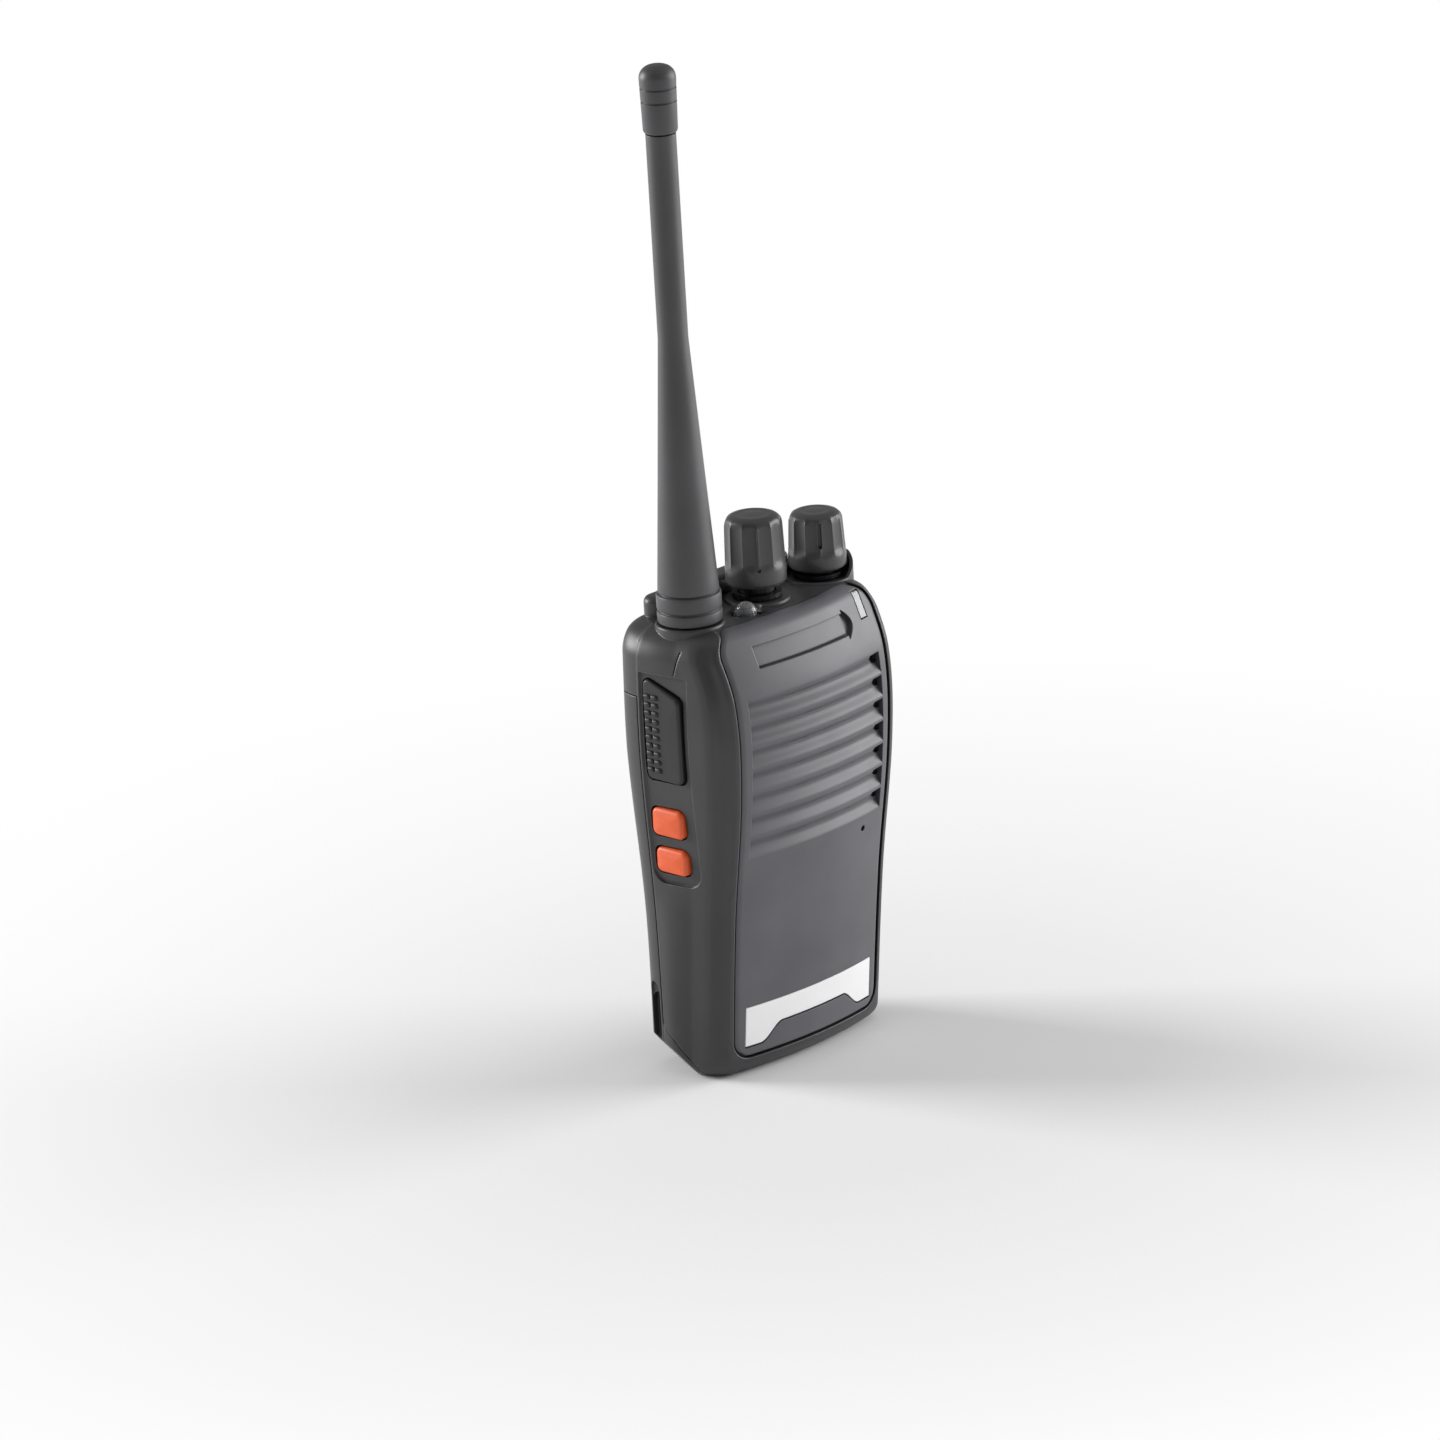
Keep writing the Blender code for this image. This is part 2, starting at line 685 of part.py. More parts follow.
PTT_BOTTOM = PTT_TOP - PTT_HEIGHT
UPPER_KEY_BOTTOM = BODY_HEIGHT - UPPER_KEY_DROP
LOWER_KEY_BOTTOM = BODY_HEIGHT - LOWER_KEY_DROP
WELL_BOTTOM = LOWER_KEY_BOTTOM - WELL_FOOT_MARGIN
JACK_Z = BODY_HEIGHT - JACK_DROP
PACK_TOP = BODY_HEIGHT - PACK_DROP
CHASSIS_TOP = PACK_TOP - CHASSIS_DROP
BOARD_TOP = PACK_TOP - BOARD_DROP
POST_HIGH_Z = PACK_TOP - POST_DROP
TERMINAL_Z = PACK_TOP - TERMINAL_DROP
CLIP_Z = BODY_HEIGHT - CLIP_DROP
DECK_UNDER = BODY_HEIGHT - DECK_THICKNESS
POCKET_DEPTH = PANEL_THICKNESS + GAP
FRONT_INSET = POCKET_DEPTH + FRONT_WALL - WALL
SPEAKER_SEAT_Y = front_middle(SPEAKER_Z - SPEAKER_RADIUS) + POCKET_DEPTH + FRONT_WALL - SPEAKER_SEAT_RISE
CHASSIS_FRONT_Y = CHASSIS_BACK_Y - CHASSIS_THICKNESS
CHASSIS_HALF_WIDTH = POST_X + POST_RADIUS
SWITCH_Y = min(KEY_Y, CHASSIS_FRONT_Y - GAP - SWITCH_SIZE / 2)
BOARD_BACK_Y = CHASSIS_FRONT_Y - BOARD_STAND - GAP
BOARD_FRONT_Y = BOARD_BACK_Y - BOARD_THICKNESS
PACK_FRONT_Y = SEAM_Y + GAP
PACK_TRAY_FLOOR_Y = PACK_TRAY_FRONT_Y + PACK_LID_THICKNESS
PACK_CAVITY_TOP = PACK_TOP - PACK_WALL
CELL_BOTTOM = PACK_CAVITY_BOTTOM + PACK_TRAY_MARGIN + PACK_LID_THICKNESS + GAP
BATTERY_BOARD_TOP = PACK_CAVITY_TOP - PACK_TRAY_MARGIN - PACK_LID_THICKNESS - GAP
BATTERY_BOARD_BOTTOM = BATTERY_BOARD_TOP - BATTERY_BOARD_HEIGHT
CELL_TOP = BATTERY_BOARD_BOTTOM - GAP
ANTENNA_BOTTOM = BODY_HEIGHT + ANTENNA_BOSS_RISE + GAP
POSTS = (
    ("lower_left", -POST_X, POST_LOW_Z),
    ("lower_right", POST_X, POST_LOW_Z),
    ("upper_left", -POST_TOP_X, POST_HIGH_Z),
    ("upper_right", POST_TOP_X, POST_HIGH_Z),
)


def side_x(y, z):
    """How far out the flat of the side lies at a depth and height."""
    return half_width(z) - RIDGE_INSET * (SEAM_Y - y) / (SEAM_Y - ridge_y(z))


def pack_zone(name, gap):
    """Everything behind the seam, drawn back by a gap: a vertical plane with a toe that runs forward."""
    lean = (PACK_KNEE_Y - PACK_TOE_Y) / PACK_KNEE_Z
    low = -CUT_MARGIN
    outline = [
        (SEAM_Y + gap, PACK_TOP + GAP - gap),
        (SEAM_Y + gap, PACK_TOE_Z),
        (PACK_KNEE_Y + gap, PACK_KNEE_Z),
        (PACK_TOE_Y + gap + lean * low, low),
        (BACK_Y + CUT_MARGIN, low),
        (BACK_Y + CUT_MARGIN, PACK_TOP + GAP - gap),
    ]
    reach = SHOULDER_WIDTH / 2 + CUT_MARGIN
    return prism(name, outline, "X", -reach, reach)


def key_outline(bottom, top, top_fall, trim, grow):
    """A side key's (y, z) outline: its top falls to a front edge that is trimmed back; grown by a margin."""
    front = KEY_Y - KEY_WIDTH / 2 + trim - grow
    back = KEY_Y + KEY_WIDTH / 2 + grow
    corners = [
        (front, bottom - grow),
        (back, bottom - grow),
        (back, top + grow),
        (front, top - top_fall + grow),
    ]
    return rounded(corners, KEY_CORNER + grow, 3)


SIDE_KEYS = {
    "ptt_button": (PTT_BOTTOM, PTT_TOP, PTT_TOP_FALL, 0.0, PTT_TRAVEL),
    "upper_key": (UPPER_KEY_BOTTOM, UPPER_KEY_BOTTOM + UPPER_KEY_HEIGHT, 0.0, SMALL_KEY_TRIM, KEY_TRAVEL),
    "lower_key": (LOWER_KEY_BOTTOM, LOWER_KEY_BOTTOM + LOWER_KEY_HEIGHT, 0.0, SMALL_KEY_TRIM, KEY_TRAVEL),
}


def key_flange_x(bottom, top):
    """The flange of a side key bears on the wall's inner face from within."""
    narrowest = min(half_width(bottom - KEY_FLANGE), half_width(top + KEY_FLANGE))
    return narrowest - WALL - RIDGE_INSET - GAP


KEY_BOARD_X = min(
    key_flange_x(bottom, top) - KEY_FLANGE - travel - GAP - SWITCH_DEPTH
    for bottom, top, fall, trim, travel in SIDE_KEYS.values()
) - GAP

JACK_FACE_X = side_x(0.0, JACK_Z)
COVER_INNER_X = JACK_FACE_X + COVER_PROUD - COVER_THICKNESS
COVER_HINGE = (JACK_FACE_X + COVER_PROUD, COVER_WIDTH / 2 + GAP, JACK_Z)


def cover_outline(grow):
    half_y, half_z = COVER_WIDTH / 2 + grow, COVER_HEIGHT / 2 + grow
    return rounded(rectangle(-half_y, half_y, JACK_Z - half_z, JACK_Z + half_z), COVER_CORNER + grow, 4)


def slanted_collar():
    """A ring wall round the volume knob, high at the outer corner and low where the knob is thumbed."""
    low, high = BODY_HEIGHT - SHOULDER_ROUND, BODY_HEIGHT + COLLAR_BACK_RISE
    centre = (VOLUME_X, CONTROL_Y)
    collar = rod("collar", "Z", centre, COLLAR_RADIUS, low, high)
    inner = COLLAR_RADIUS - COLLAR_WALL
    cut(collar, rod("collar_well", "Z", centre, inner, BODY_HEIGHT - GAP, high + CUT_MARGIN))
    front_z = BODY_HEIGHT + COLLAR_FRONT_RISE
    reach = COLLAR_RADIUS + CUT_MARGIN
    slope = (high - front_z) / COLLAR_RADIUS
    wedge = [
        (-reach, front_z),
        (-COLLAR_RADIUS / 3, front_z),
        (reach, front_z + slope * (reach + COLLAR_RADIUS / 3)),
        (-reach, high + reach),
    ]
    slant = prism("collar_slant", wedge, "X", -reach, reach)
    slant.location = (*centre, 0.0)
    slant.rotation_euler = (0.0, 0.0, -COLLAR_TURN)
    return cut(collar, slant)


def crown():
    """The low wall along the back of the top deck."""
    half = TOP_WIDTH / 2 - CROWN_INSET
    top = BODY_HEIGHT + CROWN_HEIGHT
    soften = CROWN_HEIGHT / 3
    rings = []
    for z, inset in ((DECK_UNDER, 0.0), (top - soften, 0.0), (top, soften)):
        wide, back = half - inset, BACK_Y - TOP_FILLET / 2 - inset
        shape = rectangle(-wide, wide, CROWN_FRONT_Y + inset, back)
        rings.append([(x, y, z) for x, y in rounded(shape, CROWN_CORNER - inset, 4)])
    return loft("crown", rings)


def side_well():
    """A shallow thumb well round the side keys, following the flat of the side."""
    levels = spread(WELL_BOTTOM, PTT_TOP + WELL_MARGIN, 8)
    front = KEY_Y - KEY_WIDTH / 2 - WELL_FRONT_MARGIN
    back = KEY_Y + KEY_WIDTH / 2 + WELL_MARGIN
    rings = []
    for z in levels:
        out = half_width(z) + CUT_MARGIN
        rings.append([
            (-out, front, z),
            (-side_x(front, z) + WELL_DEPTH, front, z),
            (-side_x(back, z) + WELL_DEPTH, back, z),
            (-out, back, z),
        ])
    return loft("thumb_well", rings)


def front_housing():
    housing = loft("front_housing", body_rings(), "case_black")
    boss = rod(
        "antenna_boss", "Z", (ANTENNA_X, CONTROL_Y), ANTENNA_BOSS_RADIUS,
        BODY_HEIGHT - SHOULDER_ROUND, BODY_HEIGHT + ANTENNA_BOSS_RISE,
    )
    pad = rod(
        "channel_boss", "Z", (CHANNEL_X, CONTROL_Y), CHANNEL_BOSS_RADIUS,
        DECK_UNDER, BODY_HEIGHT + CHANNEL_BOSS_RISE,
    )
    fuse(housing, crown(), slanted_collar(), boss, pad)
    cavity = loft("housing_cavity", body_rings(WALL, FRONT_INSET, WALL, DECK_UNDER))
    cut(housing, pack_zone("pack_space", 0.0), cavity)

    seat_front = front_middle(SPEAKER_Z) + POCKET_DEPTH / 2
    seat_radius = SPEAKER_RADIUS + SPEAKER_SEAT_WIDTH
    fuse(housing, rod("speaker_seat", "Y", (0.0, SPEAKER_Z), seat_radius, seat_front, SPEAKER_SEAT_Y))
    for name, x, z in POSTS:
        start = front_y(x, z) + POCKET_DEPTH / 2
        fuse(housing, peg("post_" + name, "Y", (x, z), POST_RADIUS, start, CHASSIS_FRONT_Y - GAP))

    cut(housing, surface_plate("panel_pocket", panel_grid(PANEL_GROOVE), -SPEAKER_FRONT, POCKET_DEPTH))
    mouth = SPEAKER_RADIUS - SPEAKER_SEAT_WIDTH
    mouth_back = SPEAKER_SEAT_Y + CUT_MARGIN
    cut(housing, rod("speaker_mouth", "Y", (0.0, SPEAKER_Z), mouth, -SPEAKER_FRONT, mouth_back))
    mic_front = front_y(MIC_X, MIC_Z)
    mic_back = mic_front + POCKET_DEPTH + FRONT_WALL + CUT_MARGIN
    cut(housing, peg("mic_port", "Y", (MIC_X, MIC_Z), MIC_PORT_RADIUS, mic_front, mic_back))
    for name, x, z in POSTS:
        low = CHASSIS_FRONT_Y - SCREW_LENGTH - GAP
        cut(housing, peg("pilot_" + name, "Y", (x, z), SCREW_RADIUS + GAP, low, CHASSIS_FRONT_Y))

    cut(housing, side_well())
    for name, (bottom, top, fall, trim, travel) in SIDE_KEYS.items():
        outline = key_outline(bottom, top, fall, trim, RUNNING_GAP)
        reach = half_width(top) + CUT_MARGIN
        inner = key_flange_x(bottom, top)
        cut(housing, prism(name + "_window", outline, "X", -reach, -inner))

    floor_x = COVER_INNER_X - GAP
    cut(housing, prism("cover_recess", cover_outline(GAP), "X", floor_x, JACK_FACE_X + CUT_MARGIN))
    half_y, half_z = JACK_BLOCK_WIDTH / 2 - GAP, JACK_BLOCK_HEIGHT / 2 - GAP
    cut(housing, box("jack_window", (floor_x - 3 * WALL, -half_y, JACK_Z - half_z),
                     (floor_x + WALL, half_y, JACK_Z + half_z)))

    for name, x in (("channel", CHANNEL_X), ("volume", VOLUME_X)):
        cut(housing, rod(name + "_hole", "Z", (x, CONTROL_Y), BUSH_RADIUS + GAP, DECK_UNDER - WALL,
                         BODY_HEIGHT + WALL))
    cut(housing, rod("socket_hole", "Z", (ANTENNA_X, CONTROL_Y), SOCKET_RADIUS + GAP, DECK_UNDER - WALL,
                     BODY_HEIGHT + CUT_MARGIN))
    torch = (TORCH_X, TORCH_Y)
    cut(housing, rod("torch_well", "Z", torch, TORCH_WELL_RADIUS, BODY_HEIGHT - TORCH_WELL_DEPTH,
                     BODY_HEIGHT + CUT_MARGIN))
    torch_hole = TORCH_RADIUS + BEZEL_WALL + 2 * GAP
    cut(housing, rod("torch_hole", "Z", torch, torch_hole, DECK_UNDER - WALL, BODY_HEIGHT))

    for name, x in (("left", -CLIP_X), ("right", CLIP_X)):
        cut(housing, peg("clip_hole_" + name, "Y", (x, CLIP_Z), INSERT_RADIUS + GAP, BACK_Y - 2 * WALL,
                         BACK_Y + CUT_MARGIN))
    cut(housing, latch_slot())
    return housing


def louvre_cutter(name, top_z):
    """One louvre: a groove with a steep upper wall and a floor that slopes out to the lower lip."""
    rings = []
    for x in spread(-LOUVRE_HALF_LENGTH, LOUVRE_HALF_LENGTH, 6):
        face = front_y(x, top_z)
        lip = front_y(x, top_z - LOUVRE_HEIGHT)
        rings.append([
            (x, face - WALL, top_z + LOUVRE_DEPTH / 2),
            (x, face + LOUVRE_DEPTH, top_z),
            (x, face + LOUVRE_DEPTH, top_z - SOUND_SLIT_HEIGHT),
            (x, lip, top_z - LOUVRE_HEIGHT),
            (x, lip - WALL, top_z - LOUVRE_HEIGHT),
        ])
    return loft(name, rings)


def front_panel():
    panel = surface_plate("front_panel", panel_grid(), 0.0, PANEL_THICKNESS, "panel_grey")
    for i in range(LOUVRE_COUNT):
        top_z = LOUVRE_TOP_Z - i * LOUVRE_PITCH
        cut(panel, louvre_cutter("louvre_%d" % (i + 1), top_z))
        middle = top_z - SOUND_SLIT_HEIGHT / 2
        slit = rectangle_grid(-SOUND_SLIT_HALF_LENGTH, SOUND_SLIT_HALF_LENGTH,
                              middle - SOUND_SLIT_HEIGHT / 3, middle + SOUND_SLIT_HEIGHT / 3, 5)
        cut(panel, surface_plate("slit_%d" % (i + 1), slit, -WALL, 2 * WALL))
    cut(panel, surface_plate("label_recess", label_grid(GAP / 2), -WALL, LABEL_RECESS))
    badge = rectangle_grid(BADGE_LEFT, BADGE_RIGHT, BADGE_BOTTOM, BADGE_TOP, 7)
    cut(panel, surface_plate("badge_recess", badge, -WALL, BADGE_DEPTH))
    badge_middle = (BADGE_BOTTOM + BADGE_TOP) / 2
    slot_low, slot_high = badge_middle - BADGE_SLOT_HEIGHT / 2, badge_middle + BADGE_SLOT_HEIGHT / 2
    end = rectangle_grid(BADGE_RIGHT - GAP, BADGE_RIGHT + BADGE_SLOT_WIDTH, slot_low, slot_high, 3)
    cut(panel, surface_plate("badge_slot", end, -WALL, BADGE_SLOT_DEPTH))
    cut(panel, peg("mic_hole", "Y", (MIC_X, MIC_Z), MIC_HOLE_RADIUS, -SPEAKER_FRONT - WALL, -WALL))
    cut(panel, surface_plate("status_slot", status_grid(GAP), -WALL, 2 * WALL))
    return panel


def status_grid(grow):
    """The strip of the status light, which runs up into the round of the front's upper edge."""
    half = STATUS_WIDTH / 2 + grow
    return rectangle_grid(STATUS_X - half, STATUS_X + half, STATUS_BOTTOM - grow, STATUS_TOP + grow, 3, 6)


def label_grid(grow):
    """The name label: a strip whose lower edge steps up over an arch in the middle."""
    half = LABEL_HALF_WIDTH + grow
    shoulder = LABEL_ARCH_HALF_WIDTH + LABEL_ARCH_RAMP
    right = spread(0.0, LABEL_ARCH_HALF_WIDTH, 4) + spread(LABEL_ARCH_HALF_WIDTH, shoulder, 5)[1:]
    right += spread(shoulder, half, 3)[1:]
    columns = [-x for x in reversed(right[1:])] + right
    top = [(x, LABEL_TOP + grow) for x in columns]
    bottom = []
    for x in columns:
        share = min(max((shoulder - abs(x)) / LABEL_ARCH_RAMP, 0.0), 1.0)
        rise = LABEL_ARCH_RISE * share * share * (3 - 2 * share)
        bottom.append((x, LABEL_BOTTOM + rise - grow))
    return [bottom, top]


def front_fittings():
    surface_plate("label_plate", label_grid(0.0), 0.0, LABEL_THICKNESS, "label_white")
    surface_plate("status_light_pipe", status_grid(0.0), 0.0, PANEL_THICKNESS, "clear_lens")

    seat_y = SPEAKER_SEAT_Y + GAP
    cloth_y = SPEAKER_SEAT_Y - GAP
    cloth_radius = SPEAKER_RADIUS - SPEAKER_SEAT_WIDTH - GAP
    middle = (0.0, SPEAKER_Z)
    cloth_front = cloth_y - CLOTH_THICKNESS
    rod("speaker_cloth", "Y", middle, cloth_radius, cloth_front, cloth_y, "cloth_black", INNER_SIDES)
    neck = MAGNET_RADIUS + WALL
    rim = SPEAKER_RADIUS - WALL
    frame = [
        (SPEAKER_RADIUS, 0.0),
        (SPEAKER_RADIUS, -SPEAKER_FLANGE),
        (rim, -SPEAKER_FLANGE),
        (neck, -SPEAKER_DEPTH + SPEAKER_FLANGE),
        (neck, -SPEAKER_DEPTH),
        (neck - 2 * WALL, -SPEAKER_DEPTH),
        (neck - 2 * WALL, -SPEAKER_DEPTH + SPEAKER_FLANGE),
        (neck - SPEAKER_FLANGE, -SPEAKER_DEPTH + SPEAKER_FLANGE),
        (rim - SPEAKER_FLANGE, -SPEAKER_FLANGE),
        (rim - SPEAKER_FLANGE, 0.0),
    ]
    turned("speaker_frame", frame, (0.0, seat_y, SPEAKER_Z), "Y", "bright_metal", INNER_SIDES, True)
    edge = rim - SPEAKER_FLANGE - GAP
    rim_drop = SPEAKER_FLANGE / 2
    throat = neck - SPEAKER_FLANGE - WALL
    bottom = -SPEAKER_DEPTH + SPEAKER_FLANGE + GAP + CLOTH_THICKNESS
    cone = [
        (0.0, bottom + WALL),
        (throat / 2, bottom + WALL * 0.8),
        (throat, bottom),
        (edge - WALL, -rim_drop),
        (edge, -rim_drop),
        (edge, -rim_drop - CLOTH_THICKNESS),
        (edge - WALL, -rim_drop - CLOTH_THICKNESS),
        (throat, bottom - CLOTH_THICKNESS),
        (0.0, bottom - CLOTH_THICKNESS),
    ]
    turned("speaker_cone", cone, (0.0, seat_y, SPEAKER_Z), "Y", "cloth_black", INNER_SIDES)
    magnet_y = seat_y + SPEAKER_DEPTH + GAP
    magnet_end = magnet_y + MAGNET_LENGTH
    rod("speaker_magnet", "Y", middle, MAGNET_RADIUS, magnet_y, magnet_end, "bright_metal", INNER_SIDES)

    mic = (MIC_X, MIC_Z)
    boot_radius = MIC_RADIUS + GAP + MIC_BOOT_WALL
    boot_y = front_y(MIC_X + boot_radius, MIC_Z - boot_radius) + POCKET_DEPTH + FRONT_WALL + GAP
    mic_y = boot_y + MIC_BOOT_WALL + GAP
    boot_end = mic_y + MIC_LENGTH
    boot = rod("mic_boot", "Y", mic, boot_radius, boot_y, boot_end, "key_rubber", INNER_SIDES)
    socket = rod("mic_socket", "Y", mic, MIC_RADIUS + GAP, boot_y + MIC_BOOT_WALL, boot_end + CUT_MARGIN,
                 None, INNER_SIDES)
    cut(boot, socket)
    cut(boot, peg("mic_throat", "Y", mic, MIC_HOLE_RADIUS, boot_y - WALL, boot_y + WALL))
    rod("microphone", "Y", mic, MIC_RADIUS, mic_y, boot_end, "bright_metal", INNER_SIDES)


def fluted_knob(name, x, lift, radius, top_radius, height):
    """A tapered control knob: smooth skirt, scalloped grip, softly crowned top and a pointer notch."""
    shape = (
        (0.0, radius, 0.0),
        (0.26, radius * 0.99, 0.0),
        (0.33, radius * 0.985, 1.0),
        (0.90, top_radius + (radius - top_radius) * 0.1, 1.0),
        (0.96, top_radius * 0.97, 0.4),
        (1.0, top_radius * 0.80, 0.0),
    )
    count = 4 * KNOB_FLUTES
    rings = []
    for share, ring_radius, flute in shape:
        ring = []
        for i in range(count):
            turn = 2 * math.pi * i / count
            scallop = KNOB_FLUTE_DEPTH * flute * (1 - math.cos(KNOB_FLUTES * turn))
            reach = ring_radius - scallop
            ring.append((reach * math.cos(turn), reach * math.sin(turn), height * share))
        rings.append(ring)
    knob = loft(name, rings, "knob_black")
    knob.location = (x, CONTROL_Y, BODY_HEIGHT + lift)
    bore = rod(name + "_bore", "Z", (0, 0), SHAFT_RADIUS + GAP, -CUT_MARGIN, SHAFT_GRIP + GAP)
    notch = box(name + "_notch", (-POINTER_WIDTH / 2, -radius - WALL, height * 0.55),
                (POINTER_WIDTH / 2, -top_radius + POINTER_DEPTH, height + WALL))
    for tool in (bore, notch):
        tool.location = knob.location
    notch.rotation_euler = (0.0, 0.0, -POINTER_TURN)
    return cut(knob, bore, notch)


def rotary_control(prefix, body_name, x, lift, seat):
    """A potentiometer or rotary switch under the deck, its nut on a seat above it and its turning shaft."""
    half = CONTROL_BODY_WIDTH / 2
    place_at = (x, CONTROL_Y)
    top = DECK_UNDER - GAP
    bottom = top - CONTROL_BODY_HEIGHT
    low_corner = (x - half, CONTROL_Y - half, bottom)
    body = box(body_name, low_corner, (x + half, CONTROL_Y + half, top), "cast_metal")
    knob_bottom = BODY_HEIGHT + lift
    bush_top = knob_bottom - 2 * GAP
    fuse(body, rod(prefix + "_bush", "Z", place_at, BUSH_RADIUS, top - WALL, bush_top))
    shaft_low = bottom + CONTROL_BODY_HEIGHT / 2
    bore = SHAFT_RADIUS + GAP
    cut(body, rod(prefix + "_bush_bore", "Z", place_at, bore, shaft_low - GAP, bush_top + WALL))
    low = shaft_low - knob_bottom
    shaft = rod(prefix + "_shaft", "Z", (0, 0), SHAFT_RADIUS, low, SHAFT_GRIP, "bright_metal")
    shaft.location = (*place_at, knob_bottom)
    nut_low = BODY_HEIGHT + seat + GAP
    nut_top = nut_low + NUT_HEIGHT
    nut = rod(prefix + "_nut", "Z", place_at, NUT_RADIUS, nut_low, nut_top, "bright_metal")
    cut(nut, rod(prefix + "_nut_bore", "Z", place_at, BUSH_RADIUS + GAP, nut_low - WALL, nut_top + WALL))


def antenna():
    """A rubber whip: ringed skirt, long cone, slim rod and a capped tip, over a screw socket."""
    top = ANTENNA_LENGTH
    neck = top - ANTENNA_TIP_LENGTH
    base, whip, skirt = ANTENNA_BASE_RADIUS, ANTENNA_WHIP_RADIUS, ANTENNA_SKIRT_RADIUS
    groove = ANTENNA_GROOVE
    bore = ANTENNA_BORE_RADIUS
    socket = SOCKET_RADIUS + GAP + FERRULE_WALL + GAP
    seat = FERRULE_LENGTH + 2 * GAP
    sheath = [
        (whip, neck - GAP),
        (whip, ANTENNA_TAPER + ANTENNA_SKIRT),
        (base, ANTENNA_SKIRT + groove),
        (base - groove / 2, ANTENNA_SKIRT),
        (skirt - groove / 2, ANTENNA_SKIRT),
        (skirt, ANTENNA_SKIRT - groove),
        (skirt, ANTENNA_SKIRT / 2),
        (skirt - groove, ANTENNA_SKIRT / 2 - groove),
        (skirt, ANTENNA_SKIRT / 2 - 2 * groove),
        (skirt, groove),
        (skirt - groove, 0.0),
        (socket, 0.0),
        (socket, seat),
        (bore, seat + socket / 2),
        (bore, neck - GAP),
    ]
    place_at = (ANTENNA_X, CONTROL_Y, ANTENNA_BOTTOM)
    turned("antenna_sheath", sheath, place_at, "Z", "antenna_rubber", ROUND_SIDES, True)
    tip, foot = ANTENNA_TIP_RADIUS, ANTENNA_TIP_FOOT_RADIUS
    brow = top - 0.75 * tip
    taper = (tip - foot) / (brow - neck)
    cap = [(0.0, top), (tip * 0.5, top - 0.08 * tip), (tip * 0.86, top - 0.32 * tip), (tip, brow)]
    for drop in ANTENNA_TIP_RINGS:
        for step, depth in ((groove / 2, 0.0), (0.0, groove / 2), (-groove / 2, 0.0)):
            z = top - drop + step
            cap.append((foot + taper * (z - neck) - depth, z))
    cap += [(foot, neck), (0.0, neck)]
    turned("antenna_tip", cap, place_at, "Z", "antenna_rubber")
    ferrule_inner = SOCKET_RADIUS + GAP
    ferrule = [
        (ferrule_inner + FERRULE_WALL, FERRULE_LENGTH + GAP),
        (ferrule_inner + FERRULE_WALL, GAP),
        (ferrule_inner, GAP),
        (ferrule_inner, FERRULE_LENGTH + GAP),
    ]
    turned("antenna_ferrule", ferrule, place_at, "Z", "gold_metal", INNER_SIDES, True)
    wire_low = seat + socket / 2
    wire_top = neck - 2 * GAP
    wire = rod("antenna_radiator", "Z", (0, 0), bore - GAP, wire_low, wire_top, "gold_metal", SMALL_SIDES)
    wire.location = place_at

    flange_top = DECK_UNDER - GAP
    socket_top = ANTENNA_BOTTOM + SOCKET_RISE
    barrel = [
        (SOCKET_RADIUS, socket_top),
        (SOCKET_RADIUS, flange_top),
        (SOCKET_RADIUS + WALL, flange_top),
        (SOCKET_RADIUS + WALL, flange_top - WALL),
        (SOCKET_PIN_RADIUS + GAP, flange_top - WALL),
        (SOCKET_PIN_RADIUS + GAP, socket_top),
    ]
    turned("antenna_socket", barrel, (ANTENNA_X, CONTROL_Y, 0.0), "Z", "gold_metal", INNER_SIDES, True)
    pin_low = flange_top - 2 * WALL
    axis = (ANTENNA_X, CONTROL_Y)
    rod("antenna_pin", "Z", axis, SOCKET_PIN_RADIUS, pin_low, socket_top - WALL, "gold_metal", SMALL_SIDES)


def torch():
    low = DECK_UNDER - WALL
    dome = BODY_HEIGHT + TORCH_RISE
    radius = TORCH_RADIUS
    lens = [
        (0.0, dome),
        (radius * 0.5, dome - radius * 0.13),
        (radius * 0.87, dome - radius * 0.5),
        (radius, dome - radius),
        (radius, low),
        (0.0, low),
    ]
    turned("torch_lens", lens, (TORCH_X, TORCH_Y, 0.0), "Z", "clear_lens", INNER_SIDES)
    inner = radius + GAP
    rim_z = BODY_HEIGHT - TORCH_WELL_DEPTH
    ring = [
        (inner + BEZEL_WALL / 2, rim_z + BEZEL_WALL),
        (inner + BEZEL_WALL, rim_z + BEZEL_WALL / 2),
        (inner + BEZEL_WALL, DECK_UNDER),
        (inner, DECK_UNDER),
        (inner, rim_z + BEZEL_WALL),
    ]
    turned("torch_bezel", ring, (TORCH_X, TORCH_Y, 0.0), "Z", "bright_metal", INNER_SIDES, True)


